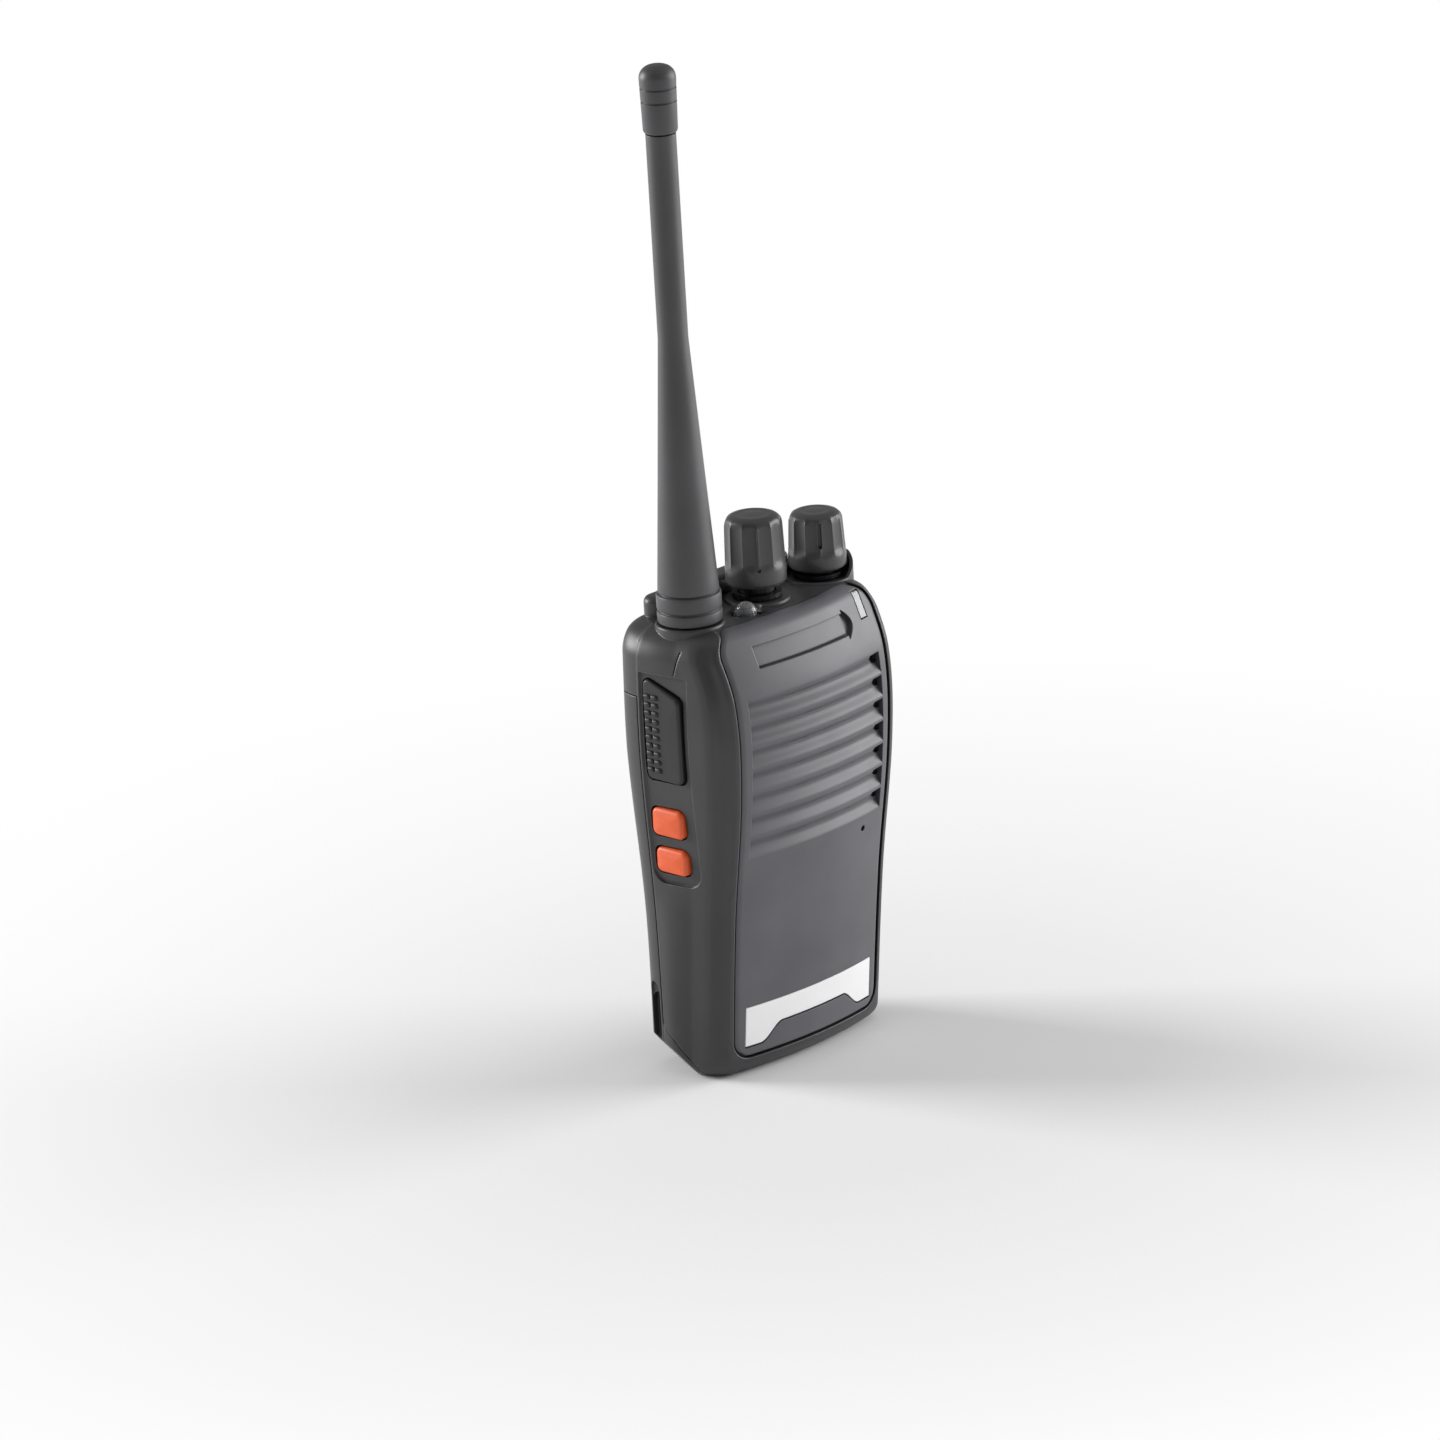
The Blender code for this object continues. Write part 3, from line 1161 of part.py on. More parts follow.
def side_keys():
    """The talk button and two function keys: caps through the wall, flanges behind it, switches inside."""
    colours = {"ptt_button": "key_rubber", "upper_key": "key_orange", "lower_key": "key_orange"}
    for name, (bottom, top, fall, trim, travel) in SIDE_KEYS.items():
        middle = (bottom + top) / 2
        face = side_x(KEY_Y, middle) + KEY_PROUD
        flange = key_flange_x(bottom, top)
        cap = key_outline(bottom, top, fall, trim, 0.0)
        key = prism(name, cap, "X", -face, -flange + KEY_FLANGE / 2, colours[name])
        crown_edge = key.modifiers.new("Soft rim", "BEVEL")
        crown_edge.width = KEY_RIM
        crown_edge.segments = 2
        crown_edge.limit_method = "ANGLE"
        crown_edge.angle_limit = RIM_ANGLE
        edge = key_outline(bottom, top, fall, trim, KEY_FLANGE)
        lip = prism(name + "_flange", edge, "X", -flange, -flange + KEY_FLANGE)
        fuse(pivot(key, (-face, KEY_Y, middle)), lip)
        switch_face = flange - KEY_FLANGE - travel - GAP
        half = SWITCH_SIZE / 2
        box(name.replace("button", "key") + "_switch", (-switch_face, SWITCH_Y - half, middle - half),
            (-KEY_BOARD_X - GAP, SWITCH_Y + half, middle + half), "bright_metal")
    low = LOWER_KEY_BOTTOM
    box("key_board", (-KEY_BOARD_X, KEY_Y - KEY_WIDTH / 2 + KEY_FLANGE, low),
        (-KEY_BOARD_X + KEY_BOARD_THICKNESS, CHASSIS_FRONT_Y - GAP, PTT_TOP), "board_green")


def accessory_socket():
    half_y, half_z = JACK_BLOCK_WIDTH / 2, JACK_BLOCK_HEIGHT / 2
    face = side_x(-half_y, JACK_Z - half_z) - WALL - GAP
    inner = CHASSIS_HALF_WIDTH + GAP
    low, high = JACK_Z - half_z, JACK_Z + half_z
    block = box("jack_block", (inner, -half_y, low), (face, half_y, high), "case_black")
    for name, radius, z in (
        ("big_jack", JACK_BIG_RADIUS, JACK_Z + JACK_SPACING / 2),
        ("small_jack", JACK_SMALL_RADIUS, JACK_Z - JACK_SPACING / 2),
    ):
        cut(block, peg(name, "X", (0.0, z), radius, inner + WALL / 2, face + WALL))
    cover = prism("jack_cover", cover_outline(0.0), "X", COVER_INNER_X, COVER_HINGE[0], "key_rubber")
    pivot(cover, COVER_HINGE)


def chassis_and_boards():
    half = CHASSIS_HALF_WIDTH
    outline = rounded(rectangle(-half, half, CHASSIS_BOTTOM, CHASSIS_TOP), POST_RADIUS, 3)
    chassis = prism("chassis", outline, "Y", CHASSIS_FRONT_Y, CHASSIS_BACK_Y, "cast_metal")
    pad_x = BOARD_HALF_WIDTH - POST_RADIUS
    pad_front = CHASSIS_FRONT_Y - BOARD_STAND
    for i, (x, z) in enumerate((
        (-pad_x, BOARD_BOTTOM + POST_RADIUS), (pad_x, BOARD_BOTTOM + POST_RADIUS),
        (-pad_x, BOARD_TOP - POST_RADIUS), (pad_x, BOARD_TOP - POST_RADIUS),
    )):
        pad = "board_pad_%d" % (i + 1)
        fuse(chassis, peg(pad, "Y", (x, z), POST_RADIUS, pad_front, CHASSIS_BACK_Y - GAP))
    head_floor = CHASSIS_BACK_Y - SCREW_HEAD_HEIGHT - GAP
    for name, x, z in POSTS:
        back = CHASSIS_BACK_Y + WALL
        cut(chassis, peg("screw_hole_" + name, "Y", (x, z), SCREW_RADIUS + GAP, CHASSIS_FRONT_Y - WALL, back))
        cut(chassis, peg("screw_seat_" + name, "Y", (x, z), SCREW_HEAD_RADIUS + GAP, head_floor, back))
        head = head_floor + GAP
        top = head + SCREW_HEAD_HEIGHT
        screw_name = "chassis_screw_" + name
        screw = rod(screw_name, "Y", (x, z), SCREW_HEAD_RADIUS, head, top, "bright_metal", SMALL_SIDES)
        half_head = head + SCREW_HEAD_HEIGHT / 2
        tip = CHASSIS_FRONT_Y - SCREW_LENGTH
        fuse(screw, peg("shank_" + name, "Y", (x, z), SCREW_RADIUS, tip, half_head))
        cut(screw, box("drive_" + name, (x - SCREW_RADIUS, half_head, z - DRIVE_SLOT / 2),
                       (x + SCREW_RADIUS, top + WALL, z + DRIVE_SLOT / 2)))
    for side in (-1, 1):
        slot_x = side * RAIL_X
        half_slot = RAIL_WIDTH / 2 + RUNNING_GAP
        cut(chassis, box("rail_slot_%d" % side, (slot_x - half_slot, CHASSIS_FRONT_Y - BOARD_STAND / 3,
                                                 CHASSIS_BOTTOM - WALL),
                         (slot_x + half_slot, CHASSIS_BACK_Y + WALL, RAIL_TOP + RUNNING_GAP)))
        x = side * TERMINAL_X
        half_x, half_z = TERMINAL_WIDTH / 2, TERMINAL_HEIGHT / 2
        cut(chassis, box("terminal_hole_%d" % side,
                         (x - half_x - GAP, CHASSIS_FRONT_Y - WALL, TERMINAL_Z - half_z - GAP),
                         (x + half_x + GAP, CHASSIS_BACK_Y + WALL, TERMINAL_Z + half_z + GAP)))
        name = "radio_terminal_" + ("negative" if side < 0 else "positive")
        box(name, (x - half_x, BOARD_BACK_Y + GAP, TERMINAL_Z - half_z),
            (x + half_x, CHASSIS_BACK_Y + GAP, TERMINAL_Z + half_z), "gold_metal")

    board_outline = rectangle(-BOARD_HALF_WIDTH, BOARD_HALF_WIDTH, BOARD_BOTTOM, BOARD_TOP)
    prism("main_board", board_outline, "Y", BOARD_FRONT_Y, BOARD_BACK_Y, "board_green")
    shield_high = SPEAKER_Z - SPEAKER_RADIUS - WALL
    box("rf_shield", (-BOARD_HALF_WIDTH + WALL, BOARD_FRONT_Y - GAP - SHIELD_HEIGHT, BOARD_BOTTOM + WALL),
        (BOARD_HALF_WIDTH / 2, BOARD_FRONT_Y - GAP, shield_high), "bright_metal")


def pack_half_width(z):
    return half_width(z) - SEAM_STEP - PACK_WALL - 2 * GAP


def corner_slope(name, side):
    """Takes off a lower side corner of the pack, more and more towards the back."""
    reach = SHOULDER_WIDTH / 2
    drop = CUT_MARGIN / PACK_CORNER_SLOPE
    rings = []
    for y, x in ((PACK_TOE_Y, PACK_CORNER_TOE_X), (FOOT_BACK, PACK_CORNER_BACK_X)):
        top = (reach - x) * PACK_CORNER_SLOPE
        corners = ((x - drop, -CUT_MARGIN), (reach, -CUT_MARGIN), (reach, top))
        rings.append([(side * out, y, z) for out, z in corners])
    return loft(name, rings)


def battery_pack():
    case = loft("battery_case", body_rings(), "case_black")
    keep_inside(case, pack_zone("pack_outline", GAP))
    inside = loft("pack_cavity", body_rings(PACK_WALL, 0.0, PACK_CAVITY_BOTTOM, PACK_CAVITY_TOP))
    heel = [
        (PACK_HEEL_Y, -CUT_MARGIN),
        (PACK_HEEL_Y, 0.0),
        (FOOT_BACK, PACK_HEEL_Z),
        (FOOT_BACK + CUT_MARGIN, PACK_HEEL_Z + CUT_MARGIN),
        (FOOT_BACK + CUT_MARGIN, -CUT_MARGIN),
    ]
    reach = SHOULDER_WIDTH
    cut(case, inside, prism("heel_slope", heel, "X", -reach, reach))
    for side in (-1, 1):
        cut(case, corner_slope("corner_slope_%d" % side, side))
        depth = half_width(DOCK_GROOVE_TOP) - DOCK_GROOVE_DEPTH
        low_x, high_x = sorted((side * depth, side * reach))
        half = DOCK_GROOVE_WIDTH / 2
        cut(case, box("dock_groove_%d" % side, (low_x, DOCK_GROOVE_Y - half, -CUT_MARGIN),
                      (high_x, DOCK_GROOVE_Y + half, DOCK_GROOVE_TOP)))
    for name, side in (("left", -1), ("right", 1)):
        centre = (side * CHARGE_X, CHARGE_Z)
        pad_back = back_y(CHARGE_Z) - GAP
        floor = pad_back - WALL
        cut(case, rod("charge_hole_" + name, "Y", centre, CHARGE_RADIUS + GAP, floor, BACK_Y + WALL))
        contact = "charge_contact_" + name
        rod(contact, "Y", centre, CHARGE_RADIUS, floor + GAP, pad_back, "gold_metal", INNER_SIDES)
    notch_low = (-LATCH_TONGUE / 2 - GAP, PACK_TOE_Y - WALL, LATCH_TONGUE_Z - GAP)
    notch_right = LATCH_TONGUE / 2 + LATCH_TRAVEL + GAP
    notch_top = LATCH_TOP + LATCH_NOTCH_RISE
    cut(case, box("latch_notch", notch_low, (notch_right, LATCH_REACH_Y + GAP, notch_top)))

    battery_tray()
    cell_back = min(WAIST_BACK, FOOT_BACK) - PACK_WALL - GAP
    cell_front = PACK_TRAY_FLOOR_Y + GAP
    cell_shape = rounded(rectangle(-CELL_WIDTH / 2, CELL_WIDTH / 2, cell_front, cell_back), CELL_CORNER, 3)
    prism("battery_cell", cell_shape, "Z", CELL_BOTTOM, CELL_TOP, "cell_blue")
    box("battery_board", (-CELL_WIDTH / 3, cell_front, BATTERY_BOARD_BOTTOM),
        (CELL_WIDTH / 3, cell_front + BOARD_THICKNESS, BATTERY_BOARD_TOP), "board_green")


def battery_tray():
    """The inner half of the pack: a lid in the case's mouth with a tray that reaches into the housing."""
    levels = spread(PACK_CAVITY_BOTTOM + GAP, PACK_CAVITY_TOP - GAP, 8)
    right = [(pack_half_width(z), z) for z in levels]
    outline = right + [(-x, z) for x, z in reversed(right)]
    lid = prism("battery_lid", outline, "Y", PACK_FRONT_Y, PACK_FRONT_Y + PACK_LID_THICKNESS, "case_black")
    low, high = PACK_CAVITY_BOTTOM + PACK_TRAY_MARGIN, PACK_CAVITY_TOP - PACK_TRAY_MARGIN
    half, wall = PACK_TRAY_HALF_WIDTH, PACK_LID_THICKNESS
    outside = rounded(rectangle(-half, half, low, high), PACK_TRAY_CORNER, 3)
    inner = half - wall
    hollow = rounded(rectangle(-inner, inner, low + wall, high - wall), PACK_TRAY_CORNER - wall, 3)
    fuse(lid, prism("tray", outside, "Y", PACK_TRAY_FRONT_Y, PACK_FRONT_Y + PACK_LID_THICKNESS / 2))
    cut(lid, prism("tray_hollow", hollow, "Y", PACK_TRAY_FLOOR_Y, BACK_Y))
    for side in (-1, 1):
        x = side * RAIL_X
        fuse(lid, box("rail_%d" % side, (x - RAIL_WIDTH / 2, CHASSIS_FRONT_Y + GAP, RAIL_BOTTOM),
                      (x + RAIL_WIDTH / 2, PACK_TRAY_FLOOR_Y - GAP, RAIL_TOP)))
        x = side * TERMINAL_X
        half_x, half_z = TERMINAL_WIDTH / 2, TERMINAL_HEIGHT / 2
        cut(lid, box("pack_terminal_hole_%d" % side,
                     (x - half_x - GAP, PACK_TRAY_FRONT_Y - WALL, TERMINAL_Z - half_z - GAP),
                     (x + half_x + GAP, PACK_TRAY_FLOOR_Y + GAP, TERMINAL_Z + half_z + GAP)))
        name = "pack_terminal_" + ("negative" if side < 0 else "positive")
        box(name, (x - half_x, PACK_TRAY_FRONT_Y, TERMINAL_Z - half_z),
            (x + half_x, PACK_TRAY_FLOOR_Y, TERMINAL_Z + half_z), "gold_metal")


def latch_slot():
    """An opening in the foot of the housing, long enough for the battery latch to slide sideways."""
    low = -LATCH_WIDTH / 2 - GAP
    high = LATCH_WIDTH / 2 + LATCH_TRAVEL + GAP
    return box("latch_slot", (low, LATCH_FRONT_Y - GAP, -CUT_MARGIN), (high, LATCH_REACH_Y, WALL + GAP))


def latch():
    slider = box("battery_latch", (-LATCH_WIDTH / 2, LATCH_FRONT_Y, LATCH_RECESS),
                 (LATCH_WIDTH / 2, LATCH_BACK_Y, LATCH_TOP), "case_black")
    tongue = box("latch_tongue", (-LATCH_TONGUE / 2, LATCH_BACK_Y - WALL / 2, LATCH_TONGUE_Z),
                 (LATCH_TONGUE / 2, LATCH_REACH_Y, LATCH_TOP - GAP))
    flange_low = WALL + GAP
    flange = box("latch_flange", (-LATCH_WIDTH / 2 - LATCH_LAP, LATCH_FRONT_Y - LATCH_LAP / 2, flange_low),
                 (LATCH_WIDTH / 2 + LATCH_LAP, LATCH_BACK_Y - GAP, LATCH_TOP + LATCH_LAP / 2))
    fuse(pivot(slider, (0.0, LATCH_FRONT_Y, LATCH_TOP)), tongue, flange)
    for i in range(3):
        x = (i - 1) * LATCH_WIDTH / 4
        cut(slider, box("thumb_groove_%d" % (i + 1), (x - GAP, LATCH_FRONT_Y - WALL, -WALL),
                        (x + GAP, LATCH_BACK_Y + WALL, LATCH_RECESS + GAP)))


def clip_inserts():
    back = BACK_Y - GAP
    for name, x in (("left", -CLIP_X), ("right", CLIP_X)):
        place_at = (x, CLIP_Z)
        insert_name = "clip_insert_" + name
        insert = rod(insert_name, "Y", place_at, INSERT_RADIUS, back - WALL, back, "gold_metal", SMALL_SIDES)
        cut(insert, peg("clip_thread_" + name, "Y", place_at, INSERT_BORE, back - 2 * WALL, back + WALL))


front_housing()
front_panel()
front_fittings()
fluted_knob("channel_knob", CHANNEL_X, CHANNEL_KNOB_LIFT, CHANNEL_KNOB_RADIUS, CHANNEL_KNOB_TOP_RADIUS,
            CHANNEL_KNOB_HEIGHT)
fluted_knob("volume_knob", VOLUME_X, VOLUME_KNOB_LIFT, VOLUME_KNOB_RADIUS, VOLUME_KNOB_TOP_RADIUS,
            VOLUME_KNOB_HEIGHT)
rotary_control("channel", "channel_switch", CHANNEL_X, CHANNEL_KNOB_LIFT, CHANNEL_BOSS_RISE)
rotary_control("volume", "volume_control", VOLUME_X, VOLUME_KNOB_LIFT, 0.0)
antenna()
torch()
side_keys()
accessory_socket()
chassis_and_boards()
battery_pack()
latch()
clip_inserts()
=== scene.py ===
"""Looks of the handheld two-way radio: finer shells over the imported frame, materials, light and camera."""

import json
import math

import bmesh
import bpy
from mathutils import Matrix, Vector


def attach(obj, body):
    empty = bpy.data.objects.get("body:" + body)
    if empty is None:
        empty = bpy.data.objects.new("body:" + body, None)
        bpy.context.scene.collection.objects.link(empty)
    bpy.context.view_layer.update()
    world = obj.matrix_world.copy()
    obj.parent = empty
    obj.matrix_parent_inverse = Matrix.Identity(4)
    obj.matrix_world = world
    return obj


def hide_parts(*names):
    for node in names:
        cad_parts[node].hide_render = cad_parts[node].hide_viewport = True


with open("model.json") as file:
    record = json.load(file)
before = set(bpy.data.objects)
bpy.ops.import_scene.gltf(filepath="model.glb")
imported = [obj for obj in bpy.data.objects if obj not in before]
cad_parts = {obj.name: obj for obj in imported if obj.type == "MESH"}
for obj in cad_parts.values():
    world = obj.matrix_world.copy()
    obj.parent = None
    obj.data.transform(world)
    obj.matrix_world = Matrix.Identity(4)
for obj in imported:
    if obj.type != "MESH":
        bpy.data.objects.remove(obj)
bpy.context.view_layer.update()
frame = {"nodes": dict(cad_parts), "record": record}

MM = 0.001

# Sizes of the solids: lengths in millimetres, COLLAR_TURN in degrees
HEIGHT, SHOULDER_Z, WAIST_Z, SPEAKER_Z, BROW_Z = 101.0, 73.0, 36.0, 67.0, 87.0
FOOT_WIDTH, WAIST_WIDTH, SHOULDER_WIDTH, TOP_WIDTH = 56.4, 57.0, 60.6, 59.2
FOOT_FRONT, WAIST_FRONT, SPEAKER_FRONT, BROW_FRONT, TOP_FRONT = 9.4, 13.3, 17.9, 17.9, 12.6
FOOT_BACK, WAIST_BACK, BACK_Y = 14.8, 14.4, 15.5
BOW, RIDGE_DEPTH, RIDGE_INSET = 100.0, 9.8, 1.3
SEAM_Y, SEAM_STEP, BACK_CORNER = 8.0, 0.5, 6.5
FOOT_FILLET, SHOULDER_ROUND, TOP_FILLET = 4.0, 6.4, 2.2
WALL, FRONT_WALL, DECK = 2.0, 1.8, 2.5
GAP, RUN, MARGIN = 0.3, 0.35, 3.0
PANEL_LOW, PANEL_FOOT, PANEL_TOP, PANEL_CORNER, PANEL_FOOT_CORNER = 4.6, 44.0, 46.8, 5.6, 4.0
PANEL_THICK, GROOVE, RIM = 1.5, 0.6, 1.0
POCKET = PANEL_THICK + GAP
LOUVRES, LOUVRE_PITCH, LOUVRE_TOP, LOUVRE_HALF = 7, 5.2, 86.4, 20.6
LABEL_HALF, LABEL_LOW, LABEL_HIGH, LABEL_THICK, LABEL_RECESS = 19.6, 6.9, 15.9, 0.4, 0.7
BADGE_LEFT, BADGE_LOW, BADGE_HIGH, BADGE_DEPTH = -15.5, 92.6, 97.2, 0.7
MIC, MIC_HOLE, MIC_PORT, MIC_PORT_BACK = (14.5, 48.0), 0.7, 1.0, -5.0
MOUTH_RADIUS, MOUTH_BACK = 16.2, -8.0
STATUS_LEFT, STATUS_RIGHT, STATUS_LOW, STATUS_HIGH = 18.0, 20.0, 94.6, 99.8
CONTROL_Y, ANTENNA_X, CHANNEL_X, VOLUME_X = 1.0, -19.3, 1.6, 20.9
BUSH_HOLE, SOCKET_HOLE, SHAFT_BORE, SHAFT_GRIP = 4.2, 3.4, 3.2, 9.3
BOSS_RADIUS, SEAT_RADIUS, SEAT_RISE = 7.5, 7.2, 0.6
COLLAR_RADIUS, COLLAR_WALL, COLLAR_BACK, COLLAR_FRONT, COLLAR_TURN = 7.6, 0.8, 4.2, 0.3, 60.0
CROWN_HEIGHT, CROWN_INSET, CROWN_FRONT, CROWN_CORNER = 4.3, 8.3, 8.4, 3.0
TORCH, TORCH_RADIUS, TORCH_RISE, BEZEL, TORCH_WELL, TORCH_DROP = (-6.85, -3.6), 2.1, 2.0, 0.5, 3.9, 0.9
WHIP_BASE, WHIP_LENGTH, WHIP_RADIUS, TIP_LENGTH = HEIGHT + 0.9, 122.0, 3.25, 14.6
TIP_RADIUS, TIP_FOOT, TIP_RINGS = 3.95, 3.7, (4.9, 7.8)
KEY_Y, KEY_WIDTH, KEY_CORNER, KEY_FLANGE, KEY_PROUD = 1.0, 10.4, 1.6, 1.0, 0.5
# Each key: bottom, top, fall of its upper edge towards the front, trim of its front edge
KEYS = {
    "ptt_button": (68.2, 91.4, 4.2, 0.0),
    "upper_key": (55.4, 61.8, 0.0, 1.4),
    "lower_key": (46.9, 52.7, 0.0, 1.4),
}
WELL_LOW, WELL_HIGH, WELL_FRONT, WELL_BACK = 44.4, 92.0, -5.6, 6.8
PACK_TOP, PACK_WALL, CAVITY_LOW, CAVITY_HIGH = 86.0, 1.6, 18.0, 84.4
TOE_Z, KNEE_Y, KNEE_Z, TOE_Y, HEEL_Y, HEEL_Z = 11.3, 4.3, 8.6, -2.2, 8.0, 5.0
CORNER_TOE_X, CORNER_BACK_X, CORNER_SLOPE = 26.2, 18.0, 1.1
DOCK_TOP, DOCK_DEPTH = 20.4, 1.4
JACK_Z, COVER_HALF_Y, COVER_HALF_Z, COVER_CORNER, COVER_THICK = 76.0, 5.0, 12.0, 2.5, 1.3
JACK_WINDOW_DEPTH, JACK_WINDOW_Y, JACK_WINDOW_Z = 6.0, 3.2, 9.2
CLIP_X, CLIP_Z, CLIP_HOLE = 11.0, 94.0, 2.6
CHARGE_X, CHARGE_Z, CHARGE_HOLE = 9.0, 14.0, 2.7
LATCH_SLOT = ((-4.8, -4.8, -MARGIN), (6.8, 0.8, WALL + GAP))
LATCH_NOTCH = ((-2.8, -4.2, 1.0), (4.8, 1.1, 7.8))

# Forms that differ from the solids or are only here: lengths in millimetres
SIDE_BULGE, FOOT_BULGE, CHEEK_HOLLOW = 0.3, 0.55, 0.85
WELL_DEPTH, WELL_CORNER, WELL_SPLAY, TALK_PROUD = 0.45, 3.6, 0.7, 0.25
ARCH_HALF, ARCH_RAMP, ARCH_RISE = 9.6, 6.0, 3.8
LABEL_GAP, LABEL_FOOT_GAP = 0.15, 0.45
BADGE_RIGHT, BADGE_LINE_HEIGHT, BADGE_LINE_DEPTH = 12.3, 0.4, 0.6
CRESCENT_DROP, CRESCENT_HEIGHT, CRESCENT_EDGE, CRESCENT_WIDTH, CRESCENT_DEPTH = 0.7, 6.0, 0.3, 2.2, 1.3
SLIT_HALF, SLIT_LOW, SLIT_HIGH = 10.0, 1.1, 0.98
POCKET_LENGTH, POCKET_SHALLOW, POCKET_DEEPER, PROUD = 3.4, 0.9, 1.8, 0.3
FLUTES, FLUTE_DEPTH, POINTER_TURN = 12, 0.4, math.radians(-129.5)
DOCK_FRONT, DOCK_BACK, DOCK_FOOT, DOCK_CORNER = 0.8, 4.2, -5.0, 1.6
GRIP_COLUMNS, GRIP_ROWS, GRIP_START, GRIP_PITCH = (4.7, 2.6), 10, 2.4, 1.82
GRIP_HALF_Y, GRIP_HALF_Z, GRIP_CORNER = 0.9, 0.6, 0.42

# How far cutters reach past the body, and the sharpest edge that is shaded smooth
FAR = 40.0
SMOOTH_ANGLE = math.radians(32)

# The photograph's width in pixels
PHOTO_SIZE = 1440.0

# Light: the surround's level, the distances in metres between which the floor turns white to the eye,
# and for each lamp its azimuth, elevation, distance and size in metres, and watts
SURROUND = 0.30
WHITE_RING = (0.08, 0.27)
LAMPS = (
    ("left_box", -154.0, 16.0, 1.1, 0.5, 12.0),
    ("right_box", 57.0, 9.0, 1.1, 0.9, 15.0),
    ("top_box", 0.0, 85.0, 1.5, 1.5, 2.0),
)
# The floor's radius in millimetres, and the point in metres that the lamps face
FLOOR_RADIUS = 9000.0
LAMP_AIM = Vector((0.0, 0.0, 0.08))


# Mesh builders, all in millimetres

def add_object(name, data):
    obj = bpy.data.objects.new(name, data)
    bpy.context.scene.collection.objects.link(obj)
    return obj


def new_object(name, bm):
    bm.normal_update()
    bmesh.ops.recalc_face_normals(bm, faces=bm.faces)
    bmesh.ops.scale(bm, vec=(MM, MM, MM), verts=bm.verts)
    mesh = bpy.data.meshes.new(name)
    bm.to_mesh(mesh)
    bm.free()
    return add_object(name, mesh)


def bridge(bm, rows, capped=True):
    """Faces between closed rows of equal count, and when capped one on the first and last."""
    count = len(rows[0])
    for lower, upper in zip(rows, rows[1:]):
        for i in range(count):
            j = (i + 1) % count
            bm.faces.new((lower[i], lower[j], upper[j], upper[i]))
    if capped:
        bm.faces.new(rows[0])
        bm.faces.new(rows[-1])


def loft(name, rings):
    """A closed skin through rings of equal count, with flat ends."""
    bm = bmesh.new()
    rows = [[bm.verts.new(point) for point in ring] for ring in rings]
    bridge(bm, rows, False)
    bmesh.ops.triangulate(bm, faces=bm.faces)
    bm.faces.new(rows[0])
    bm.faces.new(rows[-1])
    return new_object(name, bm)


def axis_point(axis, u, v, along):
    return {"X": (along, u, v), "Y": (u, along, v), "Z": (u, v, along)}[axis]


def prism(name, outline, axis, low, high):
    return loft(name, [[axis_point(axis, u, v, along) for u, v in outline] for along in (low, high)])


def box(name, low, high):
    (x0, y0, z0), (x1, y1, z1) = low, high
    return prism(name, [(x0, y0), (x1, y0), (x1, y1), (x0, y1)], "Z", z0, z1)


def circle(u, v, radius, count=48):
    turns = [2 * math.pi * i / count for i in range(count)]
    return [(u + radius * math.cos(t), v + radius * math.sin(t)) for t in turns]


def rod(name, axis, centre, radius, low, high, count=48):
    return prism(name, circle(*centre, radius, count), axis, low, high)


def lathe(name, profile, centre, count=72):
    """A closed profile of (radius, height) points turned about Z; a radius of 0 makes a pole."""
    bm = bmesh.new()
    rows = []
    for radius, z in profile:
        points = circle(*centre, radius, count) if radius > 0 else [centre]
        rows.append([bm.verts.new((x, y, z)) for x, y in points])
    pairs = list(zip(rows, rows[1:]))
    if len(rows[0]) > 1:
        pairs.append((rows[-1], rows[0]))
    for a, b in pairs:
        for i in range(count):
            j = (i + 1) % count
            corners = [a[i % len(a)], a[j % len(a)], b[j % len(b)], b[i % len(b)]]
            unique = list(dict.fromkeys(corners))
            if len(unique) > 2:
                bm.faces.new(unique)
    return new_object(name, bm)


def radial_prism(name, centre, turn, outline, low, high):
    """An outline of (across, height) points pushed outward along a radius of a vertical axis."""
    out = (math.cos(turn), math.sin(turn))
    rings = []
    for reach in (low, high):
        rings.append([(centre[0] + out[0] * reach - out[1] * u, centre[1] + out[1] * reach + out[0] * u, z)
                      for u, z in outline])
    return loft(name, rings)


def combine(target, operation, tools):
    """Applies Booleans one after another and removes the tools."""
    for tool in tools:
        modifier = target.modifiers.new(tool.name, "BOOLEAN")
        modifier.operation = operation
        modifier.solver = "MANIFOLD"
        modifier.object = tool
    graph = bpy.context.evaluated_depsgraph_get()
    mesh = bpy.data.meshes.new_from_object(target.evaluated_get(graph))
    target.modifiers.clear()
    target.data = mesh
    for tool in tools:
        bpy.data.objects.remove(tool)
    return target


def cut(target, *tools):
    return combine(target, "DIFFERENCE", tools)


def fuse(target, *tools):
    return combine(target, "UNION", tools)


def spread(low, high, count):
    return [low + (high - low) * i / (count - 1) for i in range(count)]


def quarter_turn(count):
    return spread(0.0, math.pi / 2, count)


def quadratic(a, b, c, t):
    return tuple((1 - t) ** 2 * p + 2 * t * (1 - t) * q + t * t * r for p, q, r in zip(a, b, c))


def between(a, b, t):
    return tuple(p + (q - p) * t for p, q in zip(a, b))


def smoothstep(low, high, value):
    t = min(max((value - low) / (high - low), 0.0), 1.0)
    return t * t * (3 - 2 * t)


